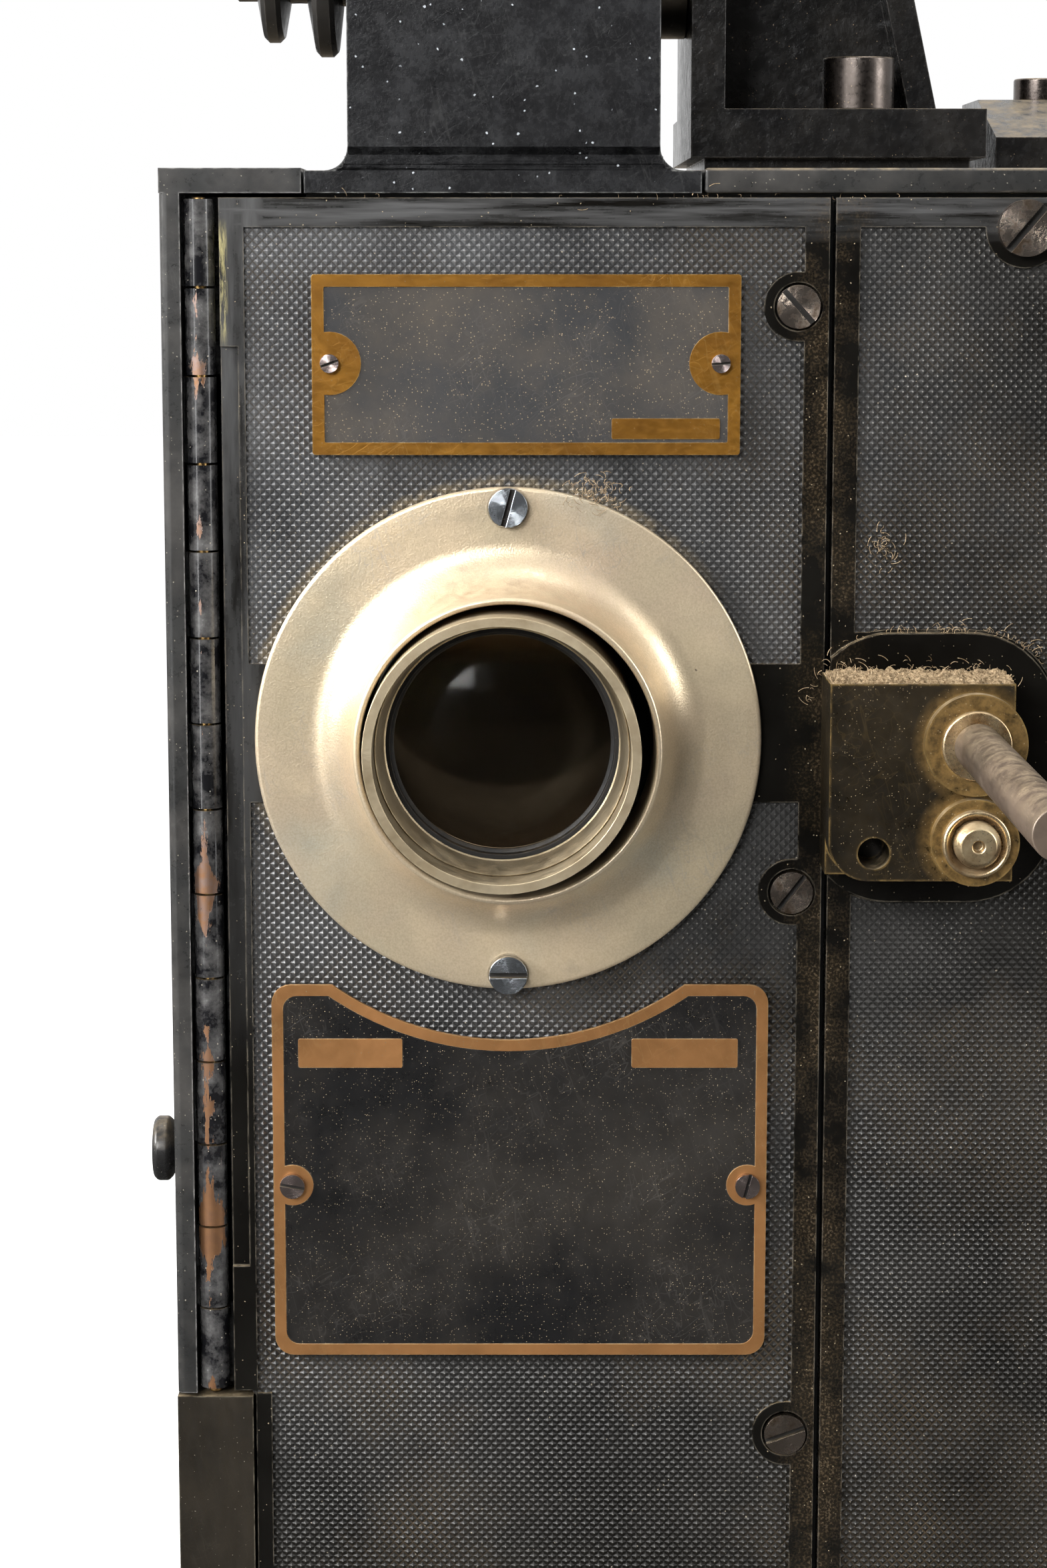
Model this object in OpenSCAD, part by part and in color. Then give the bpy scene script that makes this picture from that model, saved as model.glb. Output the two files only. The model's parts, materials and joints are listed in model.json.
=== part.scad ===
// Mechanism head of an early 35 mm motion picture projector.
// The photographed front faces -Y, the film compartment and its door are on the left (-X)
// and the gear compartment is on the right (+X). Z = 0 is the bottom of the base.

/* [Box] */
// Width across the front
box_w = 225; // [222:1:250]
// Depth from front to back
box_d = 240; // [236:1:270]
// Height from the underside to the top plate
box_h = 394; // [390:1:420]
// Thickness of the base casting
base_t = 12; // [10:0.5:16]
// Thickness of the top plate and of the door's top flange
plate_t = 5; // [4:0.5:6]
// Thickness of the sheet walls at the sides
wall_t = 5; // [4:0.5:6]
// Thickness of the rear wall
rear_t = 8; // [6:0.5:10]
// Thickness of the deck under the top plate
deck_t = 8; // [6:0.5:10]
// Thickness of the centre frame that carries the shafts
centre_t = 8; // [6:0.5:9]

/* [Front covers] */
// Thickness of the two front covers
cover_t = 6; // [5:0.5:7]
// Place of the seam between the front covers, from the middle of the box
seam_x = 23.7; // [22:0.1:26]
// Width of that seam
seam_gap = 1.2; // [0.6:0.1:2]
// Gap between a cover and the top plate or the base
cover_gap = 0.9; // [0.4:0.1:1.5]
// Depth of the pocket that holds the knurled field
knurl_depth = 0.9; // [0.5:0.1:1.5]
// Smooth border around the knurled field
border_w = 5; // [3:0.5:8]
// Radius of a cover screw's head
cover_screw_r = 4.4; // [3.5:0.1:5]
// Radius of the smooth half-round pad beside a cover screw
pad_r = 7; // [6:0.5:9]
// Radius of the head of the big screw at the top right
big_screw_r = 5.7; // [5:0.1:7]

/* [Door and hinge] */
// Height of the door's lower edge above the underside
door_rise = 137; // [125:1:150]
// Thickness of the door plate
door_t = 4; // [3:0.5:4.5]
// Width of the door's front edge frame
door_edge_w = 4.2; // [3.5:0.1:4.4]
// Width of the flange that closes the top of the door
door_flange_w = 28.8; // [24:0.1:30]
// Radius of the hinge barrel
barrel_r = 3.15; // [2.8:0.05:3.3]
// Radius of the hinge pin
hinge_pin_r = 1.4; // [1:0.1:1.6]
// Number of hinge knuckles
knuckles = 14; // [8:2:18]
// Gap between two knuckles
knuckle_gap = 0.5; // [0.3:0.1:1]
// Width and height of the door's window
window_size = 80; // [50:1:90]
// Height of the door knob above the underside
knob_rise = 158.6; // [156:0.2:164]
// Radius of the door knob
door_knob_r = 8; // [6:0.5:10]

/* [Lens] */
// Lens axis, to the left of the middle of the box
lens_left = 42; // [41:0.5:43]
// Lens axis below the top of the box
lens_drop = 116.3; // [112:0.1:120]
// Outer radius of the lens collar
collar_r = 52.2; // [48:0.1:54]
// Radius of the collar's neck opening
neck_r = 29.8; // [29.8:0.1:31]
// Height of the collar's neck in front of the cover
neck_h = 19; // [15:0.5:24]
// Outer radius of the lens barrel
barrel_tube_r = 28; // [26:0.1:28]
// Wall of the lens barrel
tube_wall = 2; // [1.5:0.1:3]
// How far the lens barrel stands in front of the cover at rest
tube_out = 24.5; // [22:0.5:30]
// Length of the lens barrel
tube_len = 148; // [140:1:150]
// Lens barrel to the left of the collar's axis
tube_off = 1.2; // [0:0.1:1.2]
// Focus travel each way
focus_travel = 8; // [4:0.5:10]

/* [Plates on the front] */
// Width of the upper brass plate
upper_plate_w = 87; // [80:1:92]
// Height of the upper brass plate
upper_plate_h = 36.4; // [30:0.2:38]
// Top edge of the upper plate below the top of the box
upper_plate_drop = 21.2; // [20:0.2:24]
// Width of the lower brass plate
lower_plate_w = 103.8; // [95:0.2:106]
// Height of the lower brass plate
lower_plate_h = 80.3; // [70:0.1:90]
// Top edge of the lower plate below the top of the box
lower_plate_drop = 167.9; // [167:0.1:172]
// Thickness of both brass plates
plate_sheet = 1; // [0.8:0.1:1.5]

/* [Film path] */
// Film plane of the gate, behind the middle of the mechanism
film_y = 45; // [44:0.5:46]
// Film plane of the chute, behind the front
chute_film_in = 57; // [55:0.5:60]
// Pitch radius of every sprocket
sprocket_r = 12; // [11.5:0.1:12.5]
// Height of a sprocket tooth
tooth_h = 1.4; // [1:0.1:1.8]
// Width of the film
film_w = 35; // [34:0.5:36]
// Distance between the two rows of perforations
perf_pitch = 28.2; // [27:0.1:29]
// Width of the picture aperture
aperture_w = 24; // [20:0.5:25]
// Height of the picture aperture
aperture_h = 18; // [15:0.5:19]
// How far the gate opens
gate_travel = 10; // [6:0.5:11]

/* [Gears] */
// Gear module
gear_m = 1.5; // [1.45:0.05:1.5]
// Teeth on the crank gear
teeth_crank = 64; // [62:1:64]
// Teeth on the drive pinion
teeth_pinion = 16; // [16:1:17]
// Teeth on the drive gear
teeth_drive = 56; // [54:1:57]
// Teeth on the flywheel pinion
teeth_fly = 28; // [26:1:28]
// Teeth on the idler
teeth_idler = 36; // [34:1:38]
// Teeth on each sprocket gear
teeth_feed = 32; // [30:1:33]
// Face width of the gears
face_w = 6; // [5:0.5:6]
// Radius of the light shafts
shaft_r = 4; // [3:0.25:4]
// Radius of the drive shaft and the crank shaft
heavy_shaft_r = 5; // [4:0.25:5.5]

/* [Shutter shaft] */
// Shutter shaft to the right of the seam
shutter_right = 27.8; // [27.5:0.1:28]
// Shutter shaft below the top of the box
shutter_drop = 114; // [112:0.5:115]
// Radius of the shutter shaft
shutter_r = 4.75; // [4:0.25:5]
// How far the shutter shaft stands in front of the covers
shutter_out = 130; // [100:1:160]
// Width of the shutter bracket
bracket_w = 37; // [36:0.5:40]
// Height of the shutter bracket
bracket_h = 40; // [38:0.5:42]
// How far the shutter bracket stands in front of the cover
bracket_out = 22; // [16:0.5:28]

/* [Crank] */
// Length of the crank arm between its centres
crank_len = 110; // [80:1:130]
// Radius of the wooden grip
grip_r = 11; // [9:0.5:13]
// Length of the wooden grip
grip_len = 62; // [50:1:90]

/* [Film chute and bracket on top] */
// Width of the film chute
chute_w = 63; // [60:1:66]
// Depth of the film chute
chute_d = 84; // [80:1:86]
// Height of the film chute above the top plate
chute_h = 78; // [72:1:100]
// Height of the roller's axis above the top plate
chute_roller_rise = 45; // [42:1:48]
// Height of the magazine bracket above the top plate
arm_h = 92; // [80:1:110]
// Spacing of the magazine bolts across the chute's flange
flange_bolt_x = 54; // [52:1:56]
// Spacing of the magazine bolts along the chute's flange
flange_bolt_y = 68; // [64:1:72]
// Spacing of the base bolts across the box
base_bolt_x = 190; // [180:1:192]
// Spacing of the base bolts along the box
base_bolt_y = 196; // [180:1:200]
// Radius of the base bolt holes
base_bolt_r = 4.5; // [4:0.25:5.5]

/* [Hidden] */
$fn = 48;

// radial clearance of a running fit, and the gap that keeps moving pieces apart
fit = 0.05;
gap = 0.6;

// outer faces and levels of the box
left_x = -box_w / 2;
right_x = box_w / 2;
front_y = -box_d / 2;
back_y = box_d / 2;
deck_z = box_h - plate_t;
cover_top = deck_z - cover_gap;
cover_bot = base_t + cover_gap;
inner_front = front_y + cover_t;
side_in = right_x - wall_t;
rear_in = back_y - rear_t;

// lens axis and the left face of the centre frame
lens_x = -lens_left;
lens_z = box_h - lens_drop;
frame_x = seam_x - 1.7;
frame_x1 = frame_x + centre_t;
screw_x = seam_x - 6.8;
screw_drops = [27.7, 148.4, 266];

// hinge axis
hinge_x = left_x + 7.8;
hinge_y = front_y + 3.4;
cover_left = hinge_x + 4.3;
post_w = 16.1;
door_bot = door_rise;
hinge_bot = door_bot + 0.6;
leaf_y = inner_front + 0.1;
leaf_t = 1.5;
post_y = leaf_y + leaf_t;

// shutter shaft, and the radius of the part that runs in its bearings
journal_r = shutter_r - 0.6;
shutter_x = seam_x + shutter_right;
shutter_z = box_h - shutter_drop;

// shafts of the gear train, as [y, z]
r_crank = gear_m * teeth_crank / 2;
r_pinion = gear_m * teeth_pinion / 2;
r_drive = gear_m * teeth_drive / 2;
r_fly = gear_m * teeth_fly / 2;
r_idler = gear_m * teeth_idler / 2;
r_feed = gear_m * teeth_feed / 2;
star_r = 16.5;
// middle of the mechanism, which keeps its distance from the front
mech_y = front_y + 120;
// place of the drive shaft between the upper and the stepping sprocket
drive_share = 0.37685185;
upper_at = [front_y + chute_film_in + sprocket_r, box_h - 42];
step_at = [mech_y + film_y + sprocket_r, lens_z - 45.7];
drive_at = [upper_at[0] + drive_share * (step_at[0] - upper_at[0]), shutter_z];
crank_at = drive_at - [0, r_crank + r_pinion];
idler_at = meet(drive_at, r_pinion + r_idler, upper_at, r_idler + r_feed, -1);
lower_drop = 65;
lower_at = crank_at + [sqrt(pow(r_crank + r_feed, 2) - pow(lower_drop, 2)), -lower_drop];
geneva_a = 24;
fly_at = meet(drive_at, r_drive + r_fly, step_at, geneva_a, 1);

// planes of the gear train along X
plane_a = frame_x1 + 2;
plane_b = plane_a + 38;
crown_x = plane_b - 6;
case_x0 = plane_a + face_w + 3;
case_x1 = case_x0 + 20;
bridge_x = plane_b + 22;
bridge_t = 6;
post_at = [drive_at + [-64.7, -40], drive_at + [55.3, 25], crank_at + [70.3, -30]];

// sizes of the lens carrier and the gate
carrier_r = barrel_tube_r + 6;
tube_x = lens_x - tube_off;
trap_y = mech_y + film_y + 0.2;
trap_t = 6;
gate_t = 6;
gate_z0 = step_at[1] + sprocket_r + 4;
gate_z1 = lens_z + 50;
rod_r = 2.5;
film_exit = lower_at[0] - sprocket_r;
pad_roll_r = 7;

// colours
japan = "#26272a";
iron = "#34353a";
nickel = "#c9bd9f";
brass = "#b88f47";
steel = "#8d8f92";
bronze = "#7c6238";
glass = "#20262a";
wood = "#6b4226";

// where a circle of radius ra about a meets one of radius rb about b
function meet(a, ra, b, rb, side) =
    let (v = b - a, d = norm(v), u = v / d, n = [-u[1], u[0]])
    let (t = (ra * ra - rb * rb + d * d) / (2 * d))
    a + t * u + side * sqrt(ra * ra - t * t) * n;

// involute of an angle, in degrees
function inv_deg(a) = (tan(a) - a * PI / 180) * 180 / PI;

// half the angle of a tooth at radius r
function tooth_half(z, r, rb, thin) =
    90 / z - thin + inv_deg(20) - (r > rb ? inv_deg(acos(rb / r)) : 0);

// outline of a spur gear with z teeth and a tooth at angle phase
function gear_points(z, m, phase, thin) =
    let (rp = m * z / 2, rb = rp * cos(20), rr = rp - 1.2 * m, ra = rp + 0.85 * m)
    let (rs = [rr, max(rb, rr + 0.1), rp, (rp + ra) / 2, ra])
    [for (i = [0:z - 1]) each concat(
        [for (r = rs) let (a = phase + 360 * i / z - tooth_half(z, r, rb, thin))
            r * [cos(a), sin(a)]],
        [for (k = [4:-1:0]) let (a = phase + 360 * i / z + tooth_half(z, rs[k], rb, thin))
            rs[k] * [cos(a), sin(a)]])];

// angle of a tooth on a gear at b that meshes with a gear at a whose tooth is at phase p
function mesh_phase(a, za, p, b, zb) =
    let (dir = atan2(b[1] - a[1], b[0] - a[0]))
    dir + 180 - 360 / zb * (0.5 - (dir - p) * za / 360);

// outline of a wheel with pointed sprocket teeth
function sprocket_points(r, h, n) =
    [for (i = [0:n - 1]) each [for (k = [[-3.6, 0], [-1.6, h], [1.6, h], [3.6, 0]])
        (r + k[1]) * [cos(360 * i / n + k[0]), sin(360 * i / n + k[0])]]];

// teeth of one gear thinned so that meshed pairs run free
thin_a = 1.1;
phase_drive = 0;
phase_crank = mesh_phase(drive_at, teeth_pinion, phase_drive, crank_at, teeth_crank);
phase_idler = mesh_phase(drive_at, teeth_pinion, phase_drive, idler_at, teeth_idler);
phase_upper = mesh_phase(idler_at, teeth_idler, phase_idler, upper_at, teeth_feed);
phase_lower = mesh_phase(crank_at, teeth_crank, phase_crank, lower_at, teeth_feed);
phase_fly = mesh_phase(drive_at, teeth_drive, phase_drive, fly_at, teeth_fly);

// a box between two corners
module block(a, b) {
    translate(a) cube(b - a);
}

// children drawn about local Z are laid along +X at [y, z], starting at x
module along_x(x, at) {
    translate([x, at[0], at[1]]) rotate([90, 0, 90]) children();
}

// children drawn about local Z point out of the front at [x, z], starting at y
module to_front(y, at) {
    translate([at[0], y, at[1]]) rotate([90, 0, 0]) children();
}

// a round bar along X
module bar_x(r, x0, x1, at) {
    along_x(x0, at) cylinder(r = r, h = x1 - x0);
}

// a round bar along Y
module bar_y(r, y0, y1, at) {
    to_front(y1, at) cylinder(r = r, h = y1 - y0);
}

// a flat rectangle with round corners, centred
module round_rect(w, h, r) {
    square([w - 2 * r, h], center = true);
    square([w, h - 2 * r], center = true);
    for (sx = [-1, 1], sy = [-1, 1])
        translate([sx * (w / 2 - r), sy * (h / 2 - r)]) circle(r);
}

// a flat bar between two points, a little narrower than its round ends
module link(a, b, r) {
    neck = r - 0.3;
    translate(a) circle(r);
    translate(b) circle(r);
    translate(a) rotate(atan2(b[1] - a[1], b[0] - a[0]))
        translate([0, -neck]) square([norm(b - a), 2 * neck]);
}

// a slotted cheese-head screw that points out of the front
module slot_screw(head_r, head_h, shank_r, shank_l, slot_angle) {
    difference() {
        union() {
            cylinder(r = head_r, h = head_h);
            translate([0, 0, -shank_l]) cylinder(r = shank_r, h = shank_l + 0.1);
        }
        rotate(slot_angle)
            translate([-head_r - 1, -head_r * 0.13, head_h * 0.5])
                cube([2 * head_r + 2, head_r * 0.26, head_h]);
    }
}

// a spur gear about local Z
module spur(z, phase, w, thin) {
    linear_extrude(w) polygon(gear_points(z, gear_m, phase, thin));
}

// the smooth parts of the left front cover inside its knurled field, as [x, z]
module lens_side_smooth() {
    translate([lens_x, lens_z]) circle(collar_r - 3);
    translate([left_x, lens_z + 1.3 - 14.5]) square([seam_x - left_x, 29]);
    for (d = screw_drops)
        translate([screw_x, box_h - d]) {
            circle(pad_r);
            translate([0, -pad_r]) square([pad_r, 2 * pad_r]);
        }
    translate([lens_x + 3.7, box_h - upper_plate_drop - upper_plate_h / 2])
        square([upper_plate_w - 4, upper_plate_h - 4], center = true);
    translate([lens_x + 2.4, box_h - lower_plate_drop - lower_plate_h / 2 - 4])
        square([lower_plate_w - 6, lower_plate_h - 20], center = true);
}

// the knurled field of the left front cover, as [x, z]
module lens_side_field() {
    difference() {
        polygon([
            [cover_left + border_w, door_bot],
            [left_x + post_w + 4, door_bot],
            [left_x + post_w + 4, cover_bot + border_w],
            [seam_x - seam_gap / 2 - border_w, cover_bot + border_w],
            [seam_x - seam_gap / 2 - border_w, cover_top - border_w - 0.9],
            [cover_left + border_w, cover_top - border_w - 0.9]
        ]);
        lens_side_smooth();
    }
}

// the knurled field of the right front cover, as [x, z]
module gear_side_field() {
    difference() {
        translate([seam_x + seam_gap / 2 + border_w, cover_bot + border_w])
            square([right_x - seam_x - seam_gap / 2 - 2 * border_w,
                cover_top - cover_bot - 2 * border_w - 0.9]);
        gear_side_smooth();
    }
}

// middle of the shutter bracket and the pad behind it
bracket_mid = [seam_x - 1.2 + bracket_w / 2, shutter_z + 12 - bracket_h / 2];
big_screw_at = [seam_x + 38.8, box_h - 12];

// the smooth parts of the right front cover inside its knurled field, as [x, z]
module gear_side_smooth() {
    translate(bracket_mid + [4, 0]) round_rect(bracket_w + 16, bracket_h + 17, 18);
    translate([seam_x, bracket_mid[1] - bracket_h / 2 - 2])
        square([bracket_w / 2, bracket_h + 10]);
    translate(big_screw_at) circle(8);
    for (z = [30, box_h - 60])
        translate([side_in - 4, z]) circle(pad_r);
}

// screws of the front covers that aren't at the seam, as [x, z]
gear_screws = [[side_in - 4, 30], [side_in - 4, box_h - 60]];
// screws of the side cover, as [y, z]
side_screws = [for (z = [30, 205, box_h - 20]) each [[inner_front + 8, z], [back_y - 8, z]]];

module base_casting() {
    color(iron)
    difference() {
        union() {
            block([left_x, front_y, 0], [right_x, back_y, base_t]);
            block([left_x, front_y - 0.5, base_t - 1], [left_x + post_w, front_y + 16, door_bot - gap]);
            block([left_x, front_y + 10, base_t - 1], [left_x + wall_t, rear_in, door_bot - gap]);
            block([hinge_x + 0.6, post_y, base_t - 1], [hinge_x + 13, post_y + 12, deck_z - deck_t]);
            block([side_in - 10.5, inner_front, base_t - 1], [side_in, inner_front + 14, deck_z]);
            block([left_x + 20, rear_in - 10, base_t - 1], [frame_x - gap, rear_in, base_t + 9]);
            block([frame_x1 + gap, rear_in - 10, base_t - 1], [side_in - 10, rear_in, base_t + 9]);
        }
        for (sx = [-1, 1], sy = [-1, 1])
            translate([sx * base_bolt_x / 2, sy * base_bolt_y / 2, -1])
                cylinder(r = base_bolt_r, h = base_t + 20);
        block([lens_x - film_w / 2 - 3, film_exit - 6, -1],
            [lens_x + film_w / 2 + 3, film_exit + 6, base_t + 1]);
        for (at = gear_screws)
            bar_y(2.1, inner_front - 1, inner_front + 15, at);
        for (at = side_screws)
            if (at[0] < 0) bar_x(2.1, side_in - 12, side_in + 1, at);
    }
}

module centre_frame() {
    boss = [[drive_at, heavy_shaft_r], [crank_at, heavy_shaft_r], [upper_at, shaft_r],
        [idler_at, shaft_r], [lower_at, shaft_r], [step_at, shaft_r]];
    color(iron)
    difference() {
        union() {
            block([frame_x, inner_front, base_t], [frame_x1, rear_in, deck_z - deck_t]);
            block([frame_x - 14, inner_front, base_t], [frame_x1 + 8, inner_front + 8, deck_z - deck_t]);
            for (b = boss)
                bar_x(b[1] + 6, frame_x - 12, frame_x + 1, b[0]);
            // arm for the inner bearing of the shutter shaft
            block([frame_x1 - 1, drive_at[0] - 46, shutter_z - 8],
                [shutter_x + 9, drive_at[0] - 36, shutter_z + 8]);
            // studs of the two pad arms
            bar_x(3, frame_x - 32, frame_x + 1, upper_stud);
            bar_x(3, frame_x - 32, frame_x + 1, lower_stud);
        }
        for (b = boss)
            bar_x(b[1] + fit, frame_x - 13, frame_x1 + 1, b[0]);
        bar_y(journal_r + fit, drive_at[0] - 47, drive_at[0] - 35, [shutter_x, shutter_z]);
        for (d = screw_drops)
            bar_y(2.1, inner_front - 1, inner_front + 15, [screw_x, box_h - d]);
    }
}

module rear_wall() {
    color(japan)
    difference() {
        block([left_x, rear_in, base_t], [side_in, back_y, deck_z - gap]);
        bar_y(36, rear_in - 1, back_y + 1, [lens_x, lens_z]);
        for (at = side_screws)
            if (at[0] > 0) bar_x(2.1, side_in - 12, side_in + 1, at);
    }
}

// the slot that the film takes through the deck, as low and high corners in [x, y]
slot_lo = [lens_x - film_w / 2 - 3, front_y + chute_film_in - 26];
slot_hi = [lens_x + film_w / 2 + 3, front_y + chute_film_in + 10];

module top_deck() {
    low = left_x + door_flange_w;
    color(iron)
    difference() {
        union() {
            block([low + gap, inner_front, deck_z - deck_t], [side_in - 10.5, inner_front + 14, deck_z]);
            block([low + gap, inner_front + 10, deck_z - deck_t], [frame_x1, rear_in, deck_z]);
            block([hinge_x + 0.6, post_y, deck_z - deck_t], [low + 1, rear_in, deck_z - gap]);
        }
        block([slot_lo[0], slot_lo[1], deck_z - deck_t - 1], [slot_hi[0], slot_hi[1], deck_z + 1]);
        bar_y(2.6, inner_front - 1, inner_front + 15, big_screw_at);
    }
}

module top_plate() {
    foot_x1 = lens_x + chute_foot_r;
    color(japan) union() {
        block([foot_x1 + gap, front_y, deck_z], [right_x, back_y, box_h]);
        block([left_x + door_flange_w + gap, front_y + chute_d + chute_foot_back + gap, deck_z],
            [foot_x1 + 1, back_y, box_h]);
    }
}

// reach of the chute's foot from the lens axis, and behind the chute
chute_foot_l = 41.1;
chute_foot_r = 39.1;
chute_foot_back = 14;

module lens_side_cover() {
    x1 = seam_x - seam_gap / 2;
    color(japan)
    difference() {
        union() {
            block([cover_left, front_y, door_bot + gap], [x1, inner_front, cover_top]);
            block([left_x + post_w + gap, front_y, cover_bot], [x1, inner_front, door_bot + 1]);
        }
        to_front(front_y + knurl_depth, [0, 0])
            linear_extrude(knurl_depth + 1) lens_side_field();
        // the margin beside the hinge is set back between its two ribs
        block([cover_left - 1, front_y - 1, box_h - 229],
            [cover_left + border_w - 1.4, front_y + 1, box_h - 35.7]);
        bar_y(neck_r + 1.2, front_y - 1, inner_front + 1, [lens_x, lens_z]);
        for (d = screw_drops) {
            bar_y(2.2, front_y - 1, inner_front + 1, [screw_x, box_h - d]);
            bar_y(cover_screw_r + 0.5, front_y - 1, front_y + 1.6, [screw_x, box_h - d]);
        }
        for (s = collar_screw_at) bar_y(1.7, front_y - 1, inner_front + 1, s);
        for (s = plate_screw_at) bar_y(1.2, front_y - 1, front_y + 4, s);
    }
}

collar_screw_at = [[lens_x, lens_z + 48.1], [lens_x, lens_z - 48.9]];
upper_mid = [lens_x + 3.7, box_h - upper_plate_drop - upper_plate_h / 2];
lower_mid = [lens_x + 2.4, box_h - lower_plate_drop - lower_plate_h / 2];
plate_screw_at = [
    upper_mid + [-39.9, 0.3], upper_mid + [39.5, 0.3],
    lower_mid + [-47.9, -3], lower_mid + [47.9, -3]
];

module gear_side_cover() {
    x0 = seam_x + seam_gap / 2;
    color(japan)
    difference() {
        union() {
            block([x0, front_y, cover_bot], [right_x, inner_front, cover_top]);
            // the raised pad that carries the shutter bracket
            to_front(front_y + 1, [0, 0]) linear_extrude(3.4)
                intersection() {
                    translate(bracket_mid + [4, 0]) round_rect(bracket_w + 15, bracket_h + 16, 18);
                    translate([x0, cover_bot]) square([right_x - x0, cover_top - cover_bot]);
                }
        }
        to_front(front_y + knurl_depth, [0, 0])
            linear_extrude(knurl_depth + 3) gear_side_field();
        bar_y(shutter_r + 3, front_y - 5, inner_front + 1, [shutter_x, shutter_z]);
        bar_y(guide_r + fit, front_y - 5, inner_front + 1, guide_at);
        bar_y(2.7, front_y - 1, inner_front + 1, big_screw_at);
        for (at = gear_screws) {
            bar_y(2.2, front_y - 1, inner_front + 1, at);
            bar_y(cover_screw_r + 0.5, front_y - 1, front_y + 1.6, at);
        }
    }
}

module side_cover() {
    color(japan)
    difference() {
        union() {
            block([side_in, inner_front + 0.3, base_t + 0.4], [right_x, back_y, deck_z - 0.4]);
            bar_x(heavy_shaft_r + 9, right_x - 1, right_x + 2, crank_at);
        }
        bar_x(heavy_shaft_r + fit, side_in - 1, right_x + 3, crank_at);
        for (at = side_screws) bar_x(2.2, side_in - 1, right_x + 1, at);
    }
}

module cover_screws() {
    color(steel) {
        for (i = [0:2])
            to_front(front_y + 1.6, [screw_x, box_h - screw_drops[i]])
                slot_screw(cover_screw_r, 2.6, 2, 12, [-48, 52, 20][i]);
        to_front(front_y, big_screw_at) slot_screw(big_screw_r, 3.2, 2.5, 18, 50);
        for (at = gear_screws)
            to_front(front_y + 1.6, at) slot_screw(cover_screw_r, 2.6, 2, 12, 30);
        for (at = side_screws)
            along_x(right_x, at) slot_screw(cover_screw_r, 2.6, 2, 14, at[1]);
    }
}

module lens_collar() {
    color(nickel)
    difference() {
        to_front(front_y, [lens_x, lens_z])
            rotate_extrude($fn = 96) polygon(collar_profile);
        for (s = collar_screw_at) {
            bar_y(1.7, front_y - 5, front_y + 1, s);
            bar_y(collar_screw_r + 0.3, front_y - 5, front_y - collar_flat, s);
        }
    }
}

collar_screw_r = 4;
// radius of the concave fillet that lifts the collar into its neck
collar_fillet = 13;
collar_flat = 2.4;
collar_profile = concat(
    [[neck_r, 0], [collar_r, 0], [collar_r, 2.2], [collar_r - 0.8, 3], [collar_r - 2.4, 3],
        [collar_r - 3, collar_flat]],
    [for (a = [0:10:80])
        [neck_r + 1.6 + collar_fillet * (1 - sin(a)), collar_flat + collar_fillet * (1 - cos(a))]],
    [[neck_r + 1.4, neck_h - 1.2], [neck_r + 0.9, neck_h - 0.3], [neck_r + 0.4, neck_h],
        [neck_r, neck_h - 0.4]]
);

module collar_screws() {
    color(steel)
    for (i = [0, 1])
        to_front(front_y - collar_flat, collar_screw_at[i])
            slot_screw(collar_screw_r, 2.2, 1.6, 7, [75, 0][i]);
}

module upper_plate() {
    color(brass)
    difference() {
        to_front(front_y, upper_mid) linear_extrude(plate_sheet)
            square([upper_plate_w, upper_plate_h], center = true);
        for (i = [0, 1]) bar_y(1.3, front_y - 3, front_y + 1, plate_screw_at[i]);
    }
}

module lower_plate() {
    color(brass)
    difference() {
        to_front(front_y, lower_mid) linear_extrude(plate_sheet)
            round_rect(lower_plate_w, lower_plate_h, 4);
        bar_y(collar_r + 11.2, front_y - 3, front_y + 1, [lens_x, lens_z]);
        for (i = [2, 3]) bar_y(1.3, front_y - 3, front_y + 1, plate_screw_at[i]);
    }
}

module plate_screws() {
    color(steel)
    for (i = [0:3])
        to_front(front_y - plate_sheet, plate_screw_at[i])
            slot_screw(i < 2 ? 1.9 : 2.6, 1.4, 1.1, 4.5, [20, 5, -10, 75][i]);
}

// one knuckle of the hinge, counted from the top, as low and high z
knuckle_pitch = (cover_top - hinge_bot) / knuckles;
function knuckle_z(i) =
    [cover_top - (i + 1) * knuckle_pitch + knuckle_gap / 2, cover_top - i * knuckle_pitch - knuckle_gap / 2];

// the knuckles of one leaf, bored for the pin
module hinge_knuckles(first, bore_r) {
    for (i = [first:2:knuckles - 1])
        translate([hinge_x, hinge_y, knuckle_z(i)[0]])
            difference() {
                cylinder(r = barrel_r, h = knuckle_z(i)[1] - knuckle_z(i)[0], $fn = 32);
                translate([0, 0, -1]) cylinder(r = bore_r, h = knuckle_pitch + 2, $fn = 32);
            }
}

// a clear space round the knuckles of the other leaf
module knuckle_clear(first) {
    for (i = [first:2:knuckles - 1])
        block([hinge_x - barrel_r - 0.5, hinge_y - barrel_r - 0.5, knuckle_z(i)[0] - knuckle_gap],
            [hinge_x + barrel_r + 0.5, hinge_y + barrel_r + 0.5, knuckle_z(i)[1] + knuckle_gap]);
}

module fixed_hinge_leaf() {
    color(japan)
    union() {
        hinge_knuckles(1, hinge_pin_r + fit);
        difference() {
            block([hinge_x - 0.5, leaf_y, hinge_bot], [hinge_x + 12, leaf_y + leaf_t, cover_top]);
            knuckle_clear(0);
            translate([hinge_x, hinge_y, hinge_bot - 1])
                cylinder(r = barrel_r - 0.3, h = cover_top, $fn = 32);
        }
    }
}

module hinge_pin() {
    color(brass)
    translate([hinge_x, hinge_y, hinge_bot - 1])
        cylinder(r = hinge_pin_r, h = cover_top - hinge_bot + 1.2, $fn = 32);
}

window_at = [35, lens_z + 7];
// radius of the door's outer front corner
door_round = 1.7;

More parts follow.
